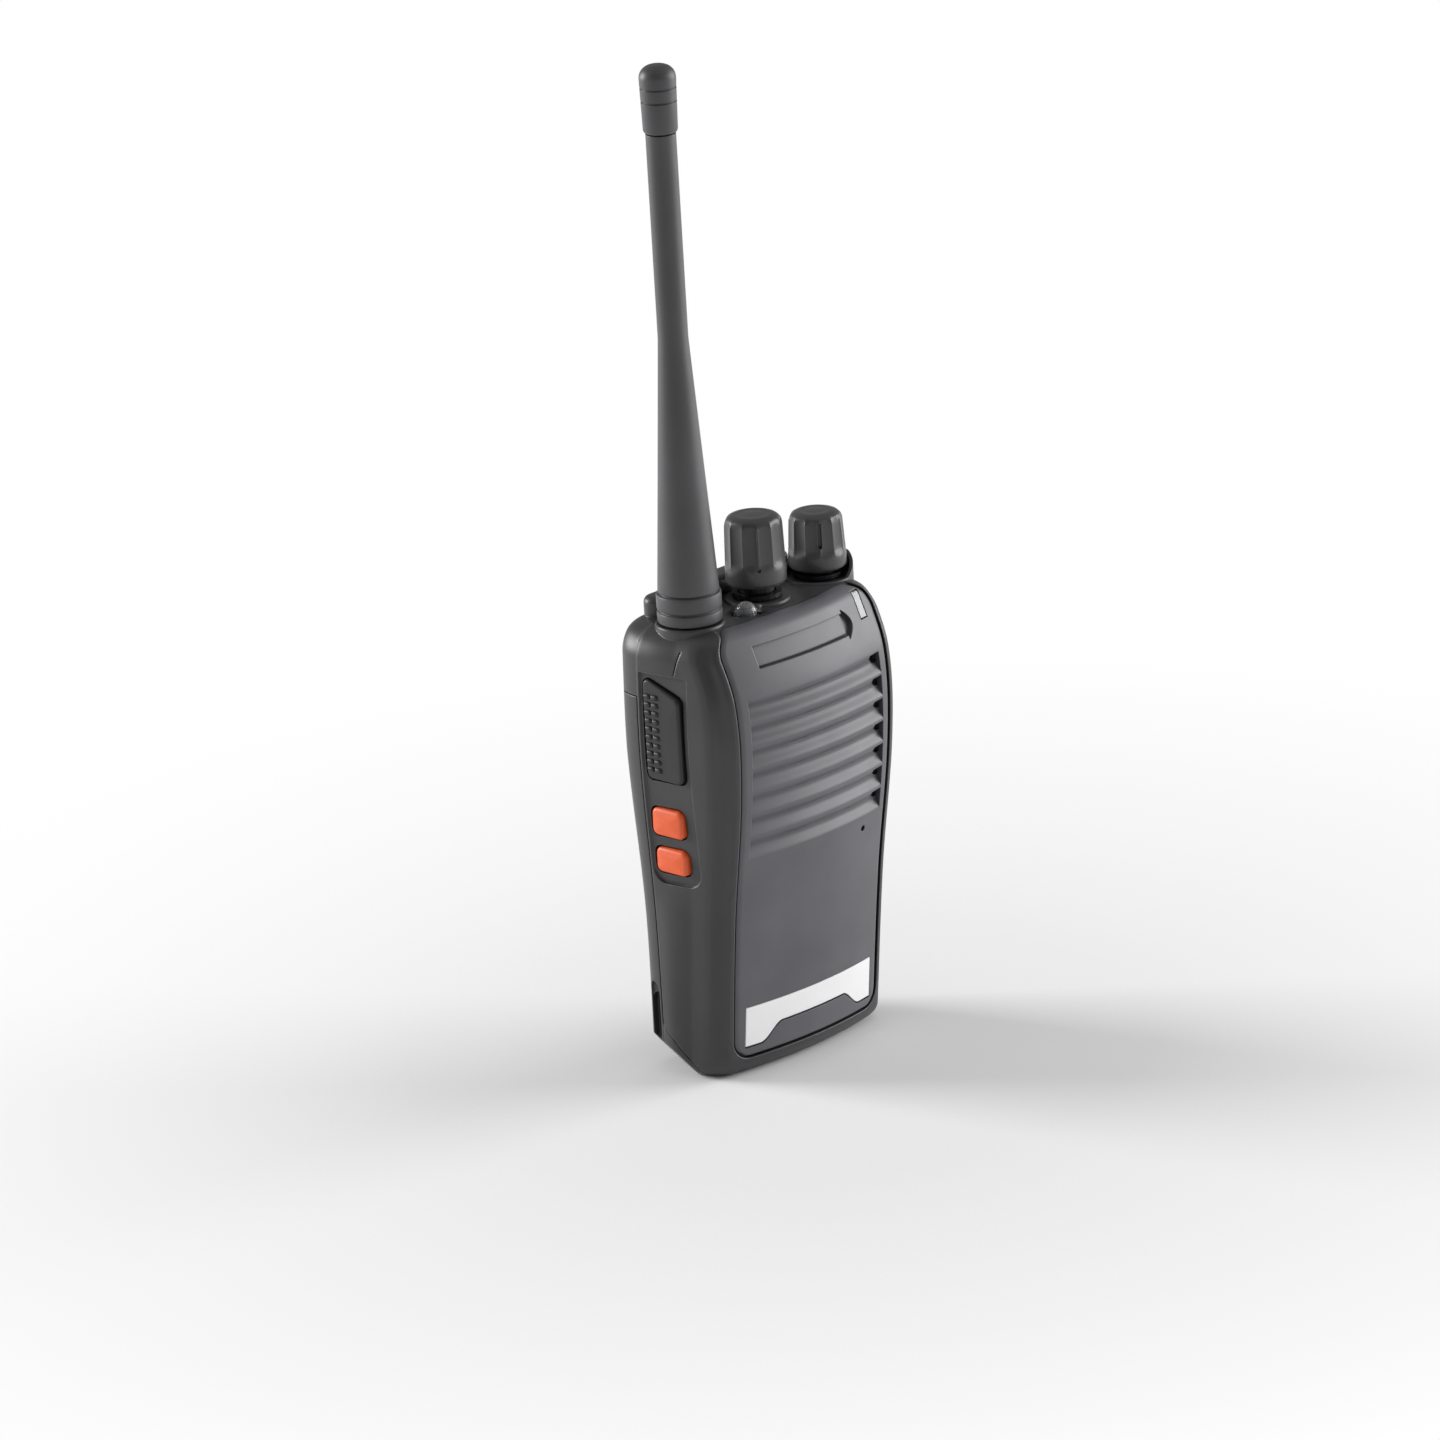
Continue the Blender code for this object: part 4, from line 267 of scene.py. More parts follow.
def rounded(points, radius, steps=8):
    """An outline with each corner replaced by an arc."""
    outline = []
    count = len(points)
    for i, corner in enumerate(points):
        here = Vector(corner)
        before = (Vector(points[i - 1]) - here).normalized()
        after = (Vector(points[(i + 1) % count]) - here).normalized()
        half = before.angle(after) / 2
        centre = here + (before + after).normalized() * radius / math.sin(half)
        start = here + before * radius / math.tan(half) - centre
        end = here + after * radius / math.tan(half) - centre
        sweep = math.atan2(start.x * end.y - start.y * end.x, start.dot(end))
        for k in range(steps + 1):
            c, s = math.cos(sweep * k / steps), math.sin(sweep * k / steps)
            outline.append((centre.x + start.x * c - start.y * s, centre.y + start.x * s + start.y * c))
    return outline


def rectangle(low_u, high_u, low_v, high_v):
    return [(low_u, low_v), (high_u, low_v), (high_u, high_v), (low_u, high_v)]


# The body's form, as in the solids but finer

def smooth_through(stations, z):
    """A smooth curve through (height, value) stations, read at one height."""
    heights, values = zip(*stations)
    slopes = []
    for i in range(len(stations)):
        a, b = max(i - 1, 0), min(i + 1, len(stations) - 1)
        slopes.append((values[b] - values[a]) / (heights[b] - heights[a]))
    z = min(max(z, heights[0]), heights[-1])
    i = max(k for k in range(len(stations) - 1) if heights[k] <= z)
    span = heights[i + 1] - heights[i]
    t = (z - heights[i]) / span
    rise = t * t * (3 - 2 * t)
    leave = t * (1 - t) ** 2 * span * slopes[i]
    arrive = t * t * (t - 1) * span * slopes[i + 1]
    return values[i] + (values[i + 1] - values[i]) * rise + leave + arrive


def half_width(z):
    return smooth_through(((0.0, FOOT_WIDTH / 2), (WAIST_Z, WAIST_WIDTH / 2),
                           (SHOULDER_Z, SHOULDER_WIDTH / 2), (HEIGHT, TOP_WIDTH / 2)), z)


def front_middle(z):
    return smooth_through(((0.0, -FOOT_FRONT), (WAIST_Z, -WAIST_FRONT), (SPEAKER_Z, -SPEAKER_FRONT),
                           (BROW_Z, -BROW_FRONT), (HEIGHT, -TOP_FRONT)), z)


def back_y(z):
    return smooth_through(((0.0, FOOT_BACK), (WAIST_Z, WAIST_BACK), (SHOULDER_Z, BACK_Y)), z)


def fillet(distance, radius):
    """How far a rounded edge has drawn in at a distance below the end of its arc."""
    reach = min(max(radius - distance, 0.0), radius)
    return radius - math.sqrt(radius * radius - reach * reach)


def front_y(x, z):
    return front_middle(z) + x * x / (2 * BOW) + fillet(HEIGHT - z, TOP_FILLET)


def side_x(y, z):
    ridge = front_middle(z) + RIDGE_DEPTH
    return half_width(z) - RIDGE_INSET * (SEAM_Y - y) / (SEAM_Y - ridge)


def panel_half(z):
    return (PANEL_FOOT + (PANEL_TOP - PANEL_FOOT) * z / HEIGHT) / 2


def section(z, inset=0.0, front_inset=0.0):
    """One ring of the body: hollowed cheek, rounded ridge and seam edge, bulged side."""
    cheek_pull, cheek_end, hollow_end, ridge_round, side_end = 0.35, 0.82, 0.62, 0.16, 0.97
    hollow_in, hollow_back = 0.75, 0.65
    top, edge = fillet(HEIGHT - z, SHOULDER_ROUND), fillet(HEIGHT - z, TOP_FILLET)
    foot = fillet(z, FOOT_FILLET)
    side = half_width(z) - top - foot - inset
    front = front_middle(z) + edge + foot + inset + front_inset
    back = back_y(z) - edge - foot - inset
    rim_x = panel_half(z) + GROOVE + RIM - top - foot - inset
    rim = (rim_x, front + rim_x * rim_x / (2 * BOW))
    ridge = (side - RIDGE_INSET, front_middle(z) + RIDGE_DEPTH)
    cheek = (ridge[0] - RIDGE_INSET / 3, rim[1] + (ridge[1] - rim[1]) * cheek_pull)
    seam = (side, SEAM_Y - SEAM_STEP)
    rear = (side - SEAM_STEP, SEAM_Y)
    right = [(x, front + x * x / (2 * BOW)) for x in spread(0.0, rim_x, 21)[:-1]]
    deep = CHEEK_HOLLOW * smoothstep(FOOT_FILLET, 4 * FOOT_FILLET, z)
    deep *= smoothstep(0.0, SHOULDER_ROUND, HEIGHT - z)
    for t in spread(0.0, cheek_end, 25):
        x, y = quadratic(rim, cheek, ridge, t)
        hollow = deep * math.sin(math.pi * min(t / hollow_end, 1.0)) ** 2
        right.append((x - hollow * hollow_in, y + hollow * hollow_back))
    leave = between(ridge, seam, ridge_round)
    right += [quadratic(right[-1], ridge, leave, t) for t in spread(0.0, 1.0, 8)[1:-1]]
    bulge = SIDE_BULGE + FOOT_BULGE * (1 - smoothstep(WAIST_Z, WELL_LOW, z))
    for share in spread(0.0, 1.0, 12):
        x, y = between(leave, seam, share * side_end)
        right.append((x + bulge * math.sin(math.pi * share), y))
    right += [quadratic(right[-1], seam, rear, t) for t in spread(0.0, 1.0, 5)[1:]]
    corner = (rear[0] - SEAM_STEP, back)
    flat = (side - BACK_CORNER, back)
    right += [quadratic(rear, corner, flat, t) for t in spread(0.0, 1.0, 16)[1:]]
    right += [between(flat, (0.0, back), t) for t in spread(0.0, 1.0, 12)[1:]]
    return right + [(-x, y) for x, y in reversed(right[1:-1])]


def body_levels():
    """Heights of the body's rings, closer together at its rounded ends."""
    foot = [FOOT_FILLET * (1 - math.cos(math.pi / 2 * i / 10)) for i in range(10)]
    middle = spread(FOOT_FILLET, HEIGHT - SHOULDER_ROUND, 60)
    top = [HEIGHT - SHOULDER_ROUND * (1 - math.sin(math.pi / 2 * i / 18)) for i in range(1, 19)]
    return foot + middle + top


def body_rings(inset=0.0, front_inset=0.0, low=0.0, high=HEIGHT):
    least = 0.05
    levels = [low] + [z for z in body_levels() if low + least < z < high - least] + [high]
    return [[(x, y, z) for x, y in section(z, inset, front_inset)] for z in levels]


def plate_edge(rows, columns):
    """The (row, column) places round a grid's border, in order."""
    edge = [(0, j) for j in range(columns)] + [(i, columns - 1) for i in range(1, rows)]
    edge += [(rows - 1, j) for j in range(columns - 2, -1, -1)]
    return edge + [(i, 0) for i in range(rows - 2, 0, -1)]


def surface_plate(name, grid, front, back, roll=None):
    """A plate that follows the bowed front, from rows of (x, z), between two depths behind it."""
    bm = bmesh.new()
    near = [[bm.verts.new((x, front_y(x, z) + front + (roll(x, z, row) if roll else 0.0), z))
             for x, z in row] for row in grid]
    far = [[bm.verts.new((x, front_y(x, z) + back, z)) for x, z in row] for row in grid]
    rows, columns = len(grid), len(grid[0])
    for sheet in (near, far):
        for i in range(rows - 1):
            for j in range(columns - 1):
                bm.faces.new((sheet[i][j], sheet[i][j + 1], sheet[i + 1][j + 1], sheet[i + 1][j]))
    edge = plate_edge(rows, columns)
    for (a, b), (c, d) in zip(edge, edge[1:] + edge[:1]):
        bm.faces.new((near[a][b], near[c][d], far[c][d], far[a][b]))
    bmesh.ops.triangulate(bm, faces=bm.faces)
    return new_object(name, bm)


def panel_grid(grow=0.0, columns=61):
    """Rows of (x, z) over the front panel with its rounded corners, grown all round."""
    low, high = PANEL_LOW - grow, HEIGHT + grow
    foot, top = PANEL_FOOT_CORNER + grow, PANEL_CORNER + grow
    levels = [low + foot * (1 - math.cos(math.pi / 2 * i / 10)) for i in range(10)]
    levels += spread(low + foot, HEIGHT - PANEL_CORNER, 76)
    levels += [HEIGHT - PANEL_CORNER * (1 - math.sin(math.pi / 2 * i / 20)) for i in range(1, 21)]
    if grow:
        levels.append(high)
    grid = []
    for z in levels:
        half = panel_half(z) + grow - fillet(z - low, foot) - fillet(high - z, top)
        grid.append([(half * s, z) for s in spread(-1.0, 1.0, columns)])
    return grid


def rectangle_grid(left, right, bottom, top, columns, rows=2):
    return [[(x, z) for x in spread(left, right, columns)] for z in spread(bottom, top, rows)]


def status_grid(grow):
    return rectangle_grid(STATUS_LEFT - grow, STATUS_RIGHT + grow,
                          STATUS_LOW - grow, STATUS_HIGH + grow, 5, 20)


def key_outline(name, grow):
    bottom, top, fall, trim = KEYS[name]
    front, back = KEY_Y - KEY_WIDTH / 2 + trim - grow, KEY_Y + KEY_WIDTH / 2 + grow
    corners = [(front, bottom - grow), (back, bottom - grow), (back, top + grow), (front, top - fall + grow)]
    return rounded(corners, KEY_CORNER + grow, 6)


def key_flange_x(name):
    bottom, top = KEYS[name][:2]
    narrowest = min(half_width(bottom - KEY_FLANGE), half_width(top + KEY_FLANGE))
    return narrowest - WALL - RIDGE_INSET - GAP


def pack_zone(name, gap):
    """All behind the seam, with the pack's toe that runs forward at the foot."""
    lean = (KNEE_Y - TOE_Y) / KNEE_Z
    top, rear = PACK_TOP + GAP - gap, BACK_Y + MARGIN
    outline = [
        (SEAM_Y + gap, top), (SEAM_Y + gap, TOE_Z), (KNEE_Y + gap, KNEE_Z),
        (TOE_Y + gap - lean * MARGIN, -MARGIN), (rear, -MARGIN), (rear, top),
    ]
    return prism(name, outline, "X", -FAR, FAR)


# Materials

def node(tree, kind, **inputs):
    made = tree.nodes.new(kind)
    for key, value in inputs.items():
        made.inputs[key.replace("_", " ")].default_value = value
    return made


def feed(tree, value, target, socket):
    tree.links.new(value, target.inputs[socket])


def noise(tree, coords, scale, detail=2.0, roughness=0.5):
    made = node(tree, "ShaderNodeTexNoise", Scale=scale, Detail=detail, Roughness=roughness)
    feed(tree, coords.outputs["Object"], made, "Vector")
    return made.outputs["Fac"]


def remap(tree, value, low, high, to_low=0.0, to_high=1.0):
    made = node(tree, "ShaderNodeMapRange", From_Min=low, From_Max=high, To_Min=to_low, To_Max=to_high)
    feed(tree, value, made, "Value")
    return made.outputs["Result"]


def blend_colour(tree, fac, low, high):
    made = tree.nodes.new("ShaderNodeMix")
    made.data_type = "RGBA"
    for socket, value in (("A_Color", low), ("B_Color", high)):
        slot = next(s for s in made.inputs if s.identifier == socket)
        if isinstance(value, tuple):
            slot.default_value = (*value, 1.0)
        else:
            tree.links.new(value, slot)
    tree.links.new(fac, next(s for s in made.inputs if s.identifier == "Factor_Float"))
    return next(s for s in made.outputs if s.identifier == "Result_Color")


def join(tree, operation, first, second):
    made = tree.nodes.new("ShaderNodeMath")
    made.operation = operation
    feed(tree, first, made, 0)
    feed(tree, second, made, 1)
    return made.outputs["Value"]


def shade(colour, factor):
    return tuple(min(c * factor, 1.0) for c in colour)


def new_material(name, **sockets):
    material = bpy.data.materials.new(name)
    material.use_nodes = True
    tree = material.node_tree
    shader = tree.nodes["Principled BSDF"]
    for key, value in sockets.items():
        shader.inputs[key.replace("_", " ")].default_value = value
    return material, tree, shader, tree.nodes.new("ShaderNodeTexCoord")


def moulded(name, colour, roughness, grain=0.28, bump=0.12, edge_highlight=1.6, vary=0.12, corner_shade=0.45, edge=0.25,
            **sockets):
    """Moulded plastic or rubber: fine grain, faint drift of colour, a painted highlight on its edges and
    painted shade in its inner corners. The grain and the width of the highlighted edge are in millimetres."""
    material, tree, shader, coords = new_material(name, **sockets)
    drift = noise(tree, coords, 55.0, 3.0)
    fine = noise(tree, coords, 1.0 / (grain * MM), 2.0, 0.6)
    smudge = noise(tree, coords, 140.0, 4.0, 0.65)
    low, high = shade(colour, 1 - vary), shade(colour, 1 + vary)
    tone = blend_colour(tree, remap(tree, drift, 0.3, 0.7), low, high)
    # Painted shade: the colour darkens where ambient occlusion finds corners, creases and recesses, down to
    # the corner factor
    hollow = node(tree, "ShaderNodeAmbientOcclusion", Distance=2.2 * MM)
    hollow.samples = 16
    lit_share = remap(tree, hollow.outputs["AO"], 0.25, 0.85)
    tone = blend_colour(tree, lit_share, shade(colour, corner_shade), tone)
    # Painted highlight: the colour lightens on rounded edges, where light would catch them, by the edge
    # factor and less in occluded corners
    bevel = node(tree, "ShaderNodeBevel", Radius=edge * MM)
    bevel.samples = 8
    geometry = tree.nodes.new("ShaderNodeNewGeometry")
    dot = tree.nodes.new("ShaderNodeVectorMath")
    dot.operation = "DOT_PRODUCT"
    feed(tree, bevel.outputs["Normal"], dot, 0)
    feed(tree, geometry.outputs["Normal"], dot, 1)
    edge_highlight_mask = remap(tree, dot.outputs["Value"], 0.975, 0.78)
    edge_highlight_mask = join(tree, "MULTIPLY", edge_highlight_mask, remap(tree, hollow.outputs["AO"], 0.45, 0.9))
    feed(tree, blend_colour(tree, edge_highlight_mask, tone, shade(colour, edge_highlight)), shader, "Base Color")
    sheen = remap(tree, smudge, 0.25, 0.75, roughness - 0.03, roughness + 0.05)
    feed(tree, sheen, shader, "Roughness")
    relief = node(tree, "ShaderNodeBump", Strength=bump, Distance=0.06 * MM)
    feed(tree, fine, relief, "Height")
    feed(tree, bevel.outputs["Normal"], relief, "Normal")
    feed(tree, relief.outputs["Normal"], shader, "Normal")
    return material


def metal(name, colour, roughness, brushed=0.0):
    """Plated or cast metal with faint tarnish and fine scratches."""
    material, tree, shader, coords = new_material(name, Metallic=1.0)
    tarnish = noise(tree, coords, 700.0, 3.0)
    tone = blend_colour(tree, remap(tree, tarnish, 0.3, 0.7), shade(colour, 0.88), colour)
    feed(tree, tone, shader, "Base Color")
    scratch = noise(tree, coords, 2600.0, 2.0)
    low, high = roughness - 0.05, roughness + 0.08 + brushed
    feed(tree, remap(tree, scratch, 0.3, 0.7, low, high), shader, "Roughness")
    relief = node(tree, "ShaderNodeBump", Strength=0.06 + brushed, Distance=0.03 * MM)
    feed(tree, scratch, relief, "Height")
    feed(tree, relief.outputs["Normal"], shader, "Normal")
    return material


def clear(name, colour, roughness, milk):
    """Clear or milky plastic with a faint haze."""
    material, tree, shader, coords = new_material(name, Transmission_Weight=1.0 - milk, IOR=1.49)
    haze = noise(tree, coords, 420.0, 3.0)
    feed(tree, blend_colour(tree, haze, shade(colour, 0.9), colour), shader, "Base Color")
    feed(tree, remap(tree, haze, 0.3, 0.7, roughness, roughness + 0.06), shader, "Roughness")
    return material


def board(name, colour):
    """Solder-masked circuit board with faint tracks."""
    material, tree, shader, coords = new_material(name, Roughness=0.4)
    tracks = node(tree, "ShaderNodeTexBrick", Scale=420.0, Mortar_Size=0.12)
    for socket, factor in (("Color1", 0.8), ("Color2", 1.0), ("Mortar", 1.7)):
        tracks.inputs[socket].default_value = (*shade(colour, factor), 1.0)
    feed(tree, coords.outputs["Object"], tracks, "Vector")
    feed(tree, tracks.outputs["Color"], shader, "Base Color")
    return material


DULL = {"Specular_IOR_Level": 0.45}
# For each moulded material, one factor sets the painted highlight on its edges and another the painted shade
# in its corners
MATERIALS = {
    "case_black": moulded(
        "case_plastic", (0.046, 0.046, 0.049), 0.38, bump=0.10, edge_highlight=3.0, edge=0.45, **DULL),
    "panel_grey": moulded(
        "panel_plastic", (0.112, 0.112, 0.123), 0.40, grain=0.22, bump=0.08, edge_highlight=1.7, **DULL),
    "label_white": moulded(
        "label_vinyl", (0.93, 0.93, 0.94), 0.35, grain=0.6, bump=0.03, edge_highlight=1.0, vary=0.02, corner_shade=0.9),
    "knob_black": moulded(
        "knob_plastic", (0.056, 0.056, 0.059), 0.30, grain=0.2, bump=0.06, edge_highlight=2.4, **DULL),
    "antenna_rubber": moulded(
        "whip_rubber", (0.066, 0.066, 0.070), 0.42, grain=0.35, bump=0.10, edge_highlight=1.6, **DULL),
    "key_rubber": moulded(
        "talk_rubber", (0.020, 0.020, 0.021), 0.42, grain=0.25, bump=0.10, edge_highlight=3.2, **DULL),
    "key_orange": moulded(
        "orange_silicone", (0.86, 0.125, 0.030), 0.40, grain=0.3, bump=0.06, edge_highlight=1.15, vary=0.05,
        corner_shade=0.7, Subsurface_Weight=0.08, Subsurface_Scale=0.001),
    "clear_lens": clear("clear_resin", (0.95, 0.96, 0.97), 0.04, 0.0),
    "bright_metal": metal("bright_plate", (0.74, 0.74, 0.72), 0.20),
    "gold_metal": metal("brass_plate", (0.80, 0.58, 0.24), 0.26),
    "cast_metal": metal("cast_alloy", (0.56, 0.57, 0.58), 0.42, 0.08),
    "board_green": board("solder_mask", (0.030, 0.150, 0.065)),
    "cell_blue": moulded("cell_wrap", (0.045, 0.13, 0.38), 0.30, grain=0.8, bump=0.04, edge_highlight=1.2),
    "cloth_black": moulded("dust_cloth", (0.014, 0.014, 0.014), 0.85, grain=0.4, bump=0.5, edge_highlight=1.0),
}
MILKY = clear("milky_window", (0.46, 0.47, 0.48), 0.22, 0.7)
LENS = clear("lamp_resin", (0.86, 0.88, 0.90), 0.06, 0.18)
DULLED = metal("dulled_plate", (0.05, 0.05, 0.052), 0.6)
BLACKENED = metal("blackened_plate", (0.03, 0.03, 0.032), 0.42)
NODE_FINISH = {name: BLACKENED for name in (
    "channel_nut", "volume_nut", "channel_switch", "volume_control", "channel_shaft", "volume_shaft",
)}


def finish_piece(obj, body, slot, replaces=(), material=None):
    """Puts a new piece on its body, with the material for its record slot unless another is given, in place
    of its solid.
    """
    mesh = obj.data
    mesh.materials.clear()
    mesh.materials.append(material or MATERIALS[slot])
    mesh.shade_smooth()
    mesh.set_sharp_from_angle(angle=SMOOTH_ANGLE)
    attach(obj, body)
    if replaces:
        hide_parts(*replaces)
    return obj


# The case

def soft_disc(name, centre, radius, rise, soft):
    """A low round seat on the deck with a rolled upper edge."""
    top = HEIGHT + rise
    arc = [(radius - soft * (1 - math.sin(a)), top - soft * (1 - math.cos(a))) for a in quarter_turn(6)]
    return lathe(name, [(0.0, top)] + arc + [(radius, HEIGHT - DECK), (0.0, HEIGHT - DECK)], centre, 96)


def crown_block():
    """The low wall along the back of the deck, rolled over at its top."""
    soft = CROWN_HEIGHT / 3
    rings = []
    for turn in quarter_turn(8):
        inset, z = soft * (1 - math.cos(turn)), HEIGHT + CROWN_HEIGHT - soft * (1 - math.sin(turn))
        wide, back = TOP_WIDTH / 2 - CROWN_INSET - inset, BACK_Y - TOP_FILLET / 2 - inset
        ring = rounded(rectangle(-wide, wide, CROWN_FRONT + inset, back), CROWN_CORNER - inset, 8)
        if not rings:
            rings.append([(x, y, HEIGHT - DECK) for x, y in ring])
        rings.append([(x, y, z) for x, y in ring])
    return loft("crown", rings)


def slanted_collar():
    """The ring wall round the volume knob, high at the outer rear corner."""
    centre = (VOLUME_X, CONTROL_Y)
    collar = rod("collar", "Z", centre, COLLAR_RADIUS, HEIGHT - SHOULDER_ROUND, HEIGHT + COLLAR_BACK, 96)
    reach = COLLAR_RADIUS + MARGIN
    slope = (COLLAR_BACK - COLLAR_FRONT) / COLLAR_RADIUS
    wedge = [(-reach, COLLAR_FRONT), (-COLLAR_RADIUS / 3, COLLAR_FRONT),
             (reach, COLLAR_FRONT + slope * (reach + COLLAR_RADIUS / 3)), (-reach, COLLAR_BACK + reach)]
    c, s = math.cos(math.radians(COLLAR_TURN)), math.sin(math.radians(COLLAR_TURN))
    slant = [[(VOLUME_X + x * c + y * s, CONTROL_Y - x * s + y * c, HEIGHT + z) for y, z in wedge]
             for x in (-reach, reach)]
    bore = rod("collar_well", "Z", centre, COLLAR_RADIUS - COLLAR_WALL, HEIGHT - GAP, HEIGHT + reach, 96)
    return cut(collar, bore, loft("collar_slant", slant))


def thumb_well():
    """The shallow well round the side keys, with a rounded foot."""
    levels = [WELL_LOW + WELL_CORNER * (1 - math.cos(a)) for a in spread(0.15, math.pi / 2, 12)]
    levels += spread(WELL_LOW + WELL_CORNER + 1.0, WELL_HIGH, 36)
    rings = []
    for z in levels:
        inset = fillet(z - WELL_LOW, WELL_CORNER)
        front, back, out = WELL_FRONT + inset, WELL_BACK - inset, half_width(z) + MARGIN
        splay = WELL_SPLAY * (MARGIN + WELL_DEPTH)
        rings.append([(-out, front - splay, z), (-side_x(front, z) + WELL_DEPTH, front, z),
                      (-side_x(back, z) + WELL_DEPTH, back, z), (-out, back + splay, z)])
    return loft("thumb_well", rings)


def parting_line():
    """The short moulding line on the shoulder above the talk key."""
    width, depth = 0.35, 0.4
    path = ((-3.9, 97.6), (-3.4, 95.6), (-2.7, 92.6))
    rings = []
    for y, z in path:
        skin = side_x(y, z) - fillet(HEIGHT - z, SHOULDER_ROUND) + SIDE_BULGE
        rings.append([(-skin - MARGIN, y, z), (-skin - MARGIN, y + width, z),
                      (-skin + SIDE_BULGE + depth, y + width, z), (-skin + SIDE_BULGE + depth, y, z)])
    return loft("parting_line", rings)


def housing_shell():
    """The case with its deck fittings, hollowed and cut for all that sits in it."""
    shell = loft("case_shell", body_rings())
    fuse(shell, crown_block(), slanted_collar(),
         soft_disc("antenna_boss", (ANTENNA_X, CONTROL_Y), BOSS_RADIUS, SEAT_RISE, 0.35),
         soft_disc("channel_seat", (CHANNEL_X, CONTROL_Y), SEAT_RADIUS, SEAT_RISE, 0.3))
    windows = [prism(name + "_window", key_outline(name, RUN), "X", -FAR, -key_flange_x(name))
               for name in KEYS]
    jack_face = side_x(0.0, JACK_Z)
    floor_x = jack_face + GAP - COVER_THICK - GAP
    half_y, half_z = COVER_HALF_Y + GAP, COVER_HALF_Z + GAP
    cover = rounded(rectangle(-half_y, half_y, JACK_Z - half_z, JACK_Z + half_z), COVER_CORNER + GAP, 8)
    well_floor = HEIGHT - TORCH_DROP
    dish = [(0.0, HEIGHT + WALL), (TORCH_WELL + 1.2, HEIGHT + WALL), (TORCH_WELL, HEIGHT),
            (TORCH_WELL - 0.45, HEIGHT - 0.25), (TORCH_WELL - 0.9, well_floor), (0.0, well_floor)]
    places = ((CHANNEL_X, BUSH_HOLE), (VOLUME_X, BUSH_HOLE), (ANTENNA_X, SOCKET_HOLE))
    holes = [rod("deck_hole_%d" % i, "Z", (x, CONTROL_Y), radius, HEIGHT - 2 * DECK, HEIGHT + MARGIN)
             for i, (x, radius) in enumerate(places)]
    cut(shell, pack_zone("pack_space", 0.0),
        loft("cavity", body_rings(WALL, POCKET + FRONT_WALL - WALL, WALL, HEIGHT - DECK)),
        surface_plate("pocket", panel_grid(GROOVE), -SPEAKER_FRONT, POCKET),
        rod("mouth", "Y", (0.0, SPEAKER_Z), MOUTH_RADIUS, -SPEAKER_FRONT, MOUTH_BACK),
        rod("mic_port", "Y", MIC, MIC_PORT, -SPEAKER_FRONT, MIC_PORT_BACK, 16),
        thumb_well(), parting_line(), *windows, *holes, *louvre_pockets(),
        prism("cover_recess", cover, "X", floor_x, jack_face + MARGIN),
        box("jack_window", (floor_x - JACK_WINDOW_DEPTH, -JACK_WINDOW_Y, JACK_Z - JACK_WINDOW_Z),
            (floor_x + WALL, JACK_WINDOW_Y, JACK_Z + JACK_WINDOW_Z)),
        lathe("torch_well", dish, TORCH),
        rod("torch_hole", "Z", TORCH, TORCH_RADIUS + BEZEL + 2 * GAP, HEIGHT - 2 * DECK, HEIGHT),
        *[rod("clip_hole_%d" % i, "Y", (x, CLIP_Z), CLIP_HOLE, BACK_Y - 2 * WALL, BACK_Y + MARGIN)
          for i, x in enumerate((-CLIP_X, CLIP_X))],
        box("latch_slot", *LATCH_SLOT))
    return finish_piece(shell, "radio", "case_black", ["front_housing"])


# The front

def label_grid(grow, drop):
    """The label's rows: its lower edge steps up over an arch in the middle."""
    columns = spread(-LABEL_HALF - grow, LABEL_HALF + grow, 97)
    bottom = []
    for x in columns:
        rise = ARCH_RISE * smoothstep(0.0, 1.0, (ARCH_HALF + ARCH_RAMP - abs(x)) / ARCH_RAMP)
        bottom.append((x, LABEL_LOW + rise - drop))
    top = [(x, LABEL_HIGH + grow) for x in columns]
    return [[between(a, b, t) for a, b in zip(bottom, top)] for t in spread(0.0, 1.0, 9)]


def louvre(name, top_z):
    """One soft wave: it falls inward from the land above, and runs out to the land below."""
    depth, lead, deepest, overlap = 1.3, 0.7, 1.8, 0.02
    bottom = LOUVRE_PITCH - lead
    rings = []
    for x in spread(-LOUVRE_HALF, LOUVRE_HALF, 56):
        ring = [(x, front_y(x, top_z + lead) - WALL, top_z + lead)]
        for t in spread(0.0, 1.0, 19):
            drop = -lead + (lead + bottom) * t
            if drop < deepest:
                share = (drop + lead) / (deepest + lead)
            else:
                share = (bottom - drop) / (bottom - deepest)
            z = top_z - drop
            ring.append((x, front_y(x, z) + depth * smoothstep(0.0, 1.0, share) - overlap, z))
        ring.append((x, front_y(x, top_z - bottom) - WALL, top_z - bottom))
        rings.append(ring)
    return loft(name, rings)


def louvre_pockets():
    """The deep dark pocket at the right end of every louvre."""
    wall = ((0.25, 0.3), (1.0, 0.0), (1.0, -0.7), (0.45, -2.1))
    pockets = []
    for i in range(LOUVRES):
        top_z = LOUVRE_TOP - LOUVRE_PITCH * i
        rings = []
        for share in spread(0.0, 1.0, 7):
            x = LOUVRE_HALF - POCKET_LENGTH * (1 - share)
            face = front_y(x, top_z)
            deep = POCKET_SHALLOW + POCKET_DEEPER * smoothstep(0.0, 0.75, share)
            ring = [(x, face - PROUD, top_z + 0.5)]
            ring += [(x, face + part * deep, top_z + rise) for part, rise in wall]
            rings.append(ring + [(x, face - PROUD, top_z - 3.2)])
        pockets.append(loft("pocket_%d" % i, rings))
    return pockets


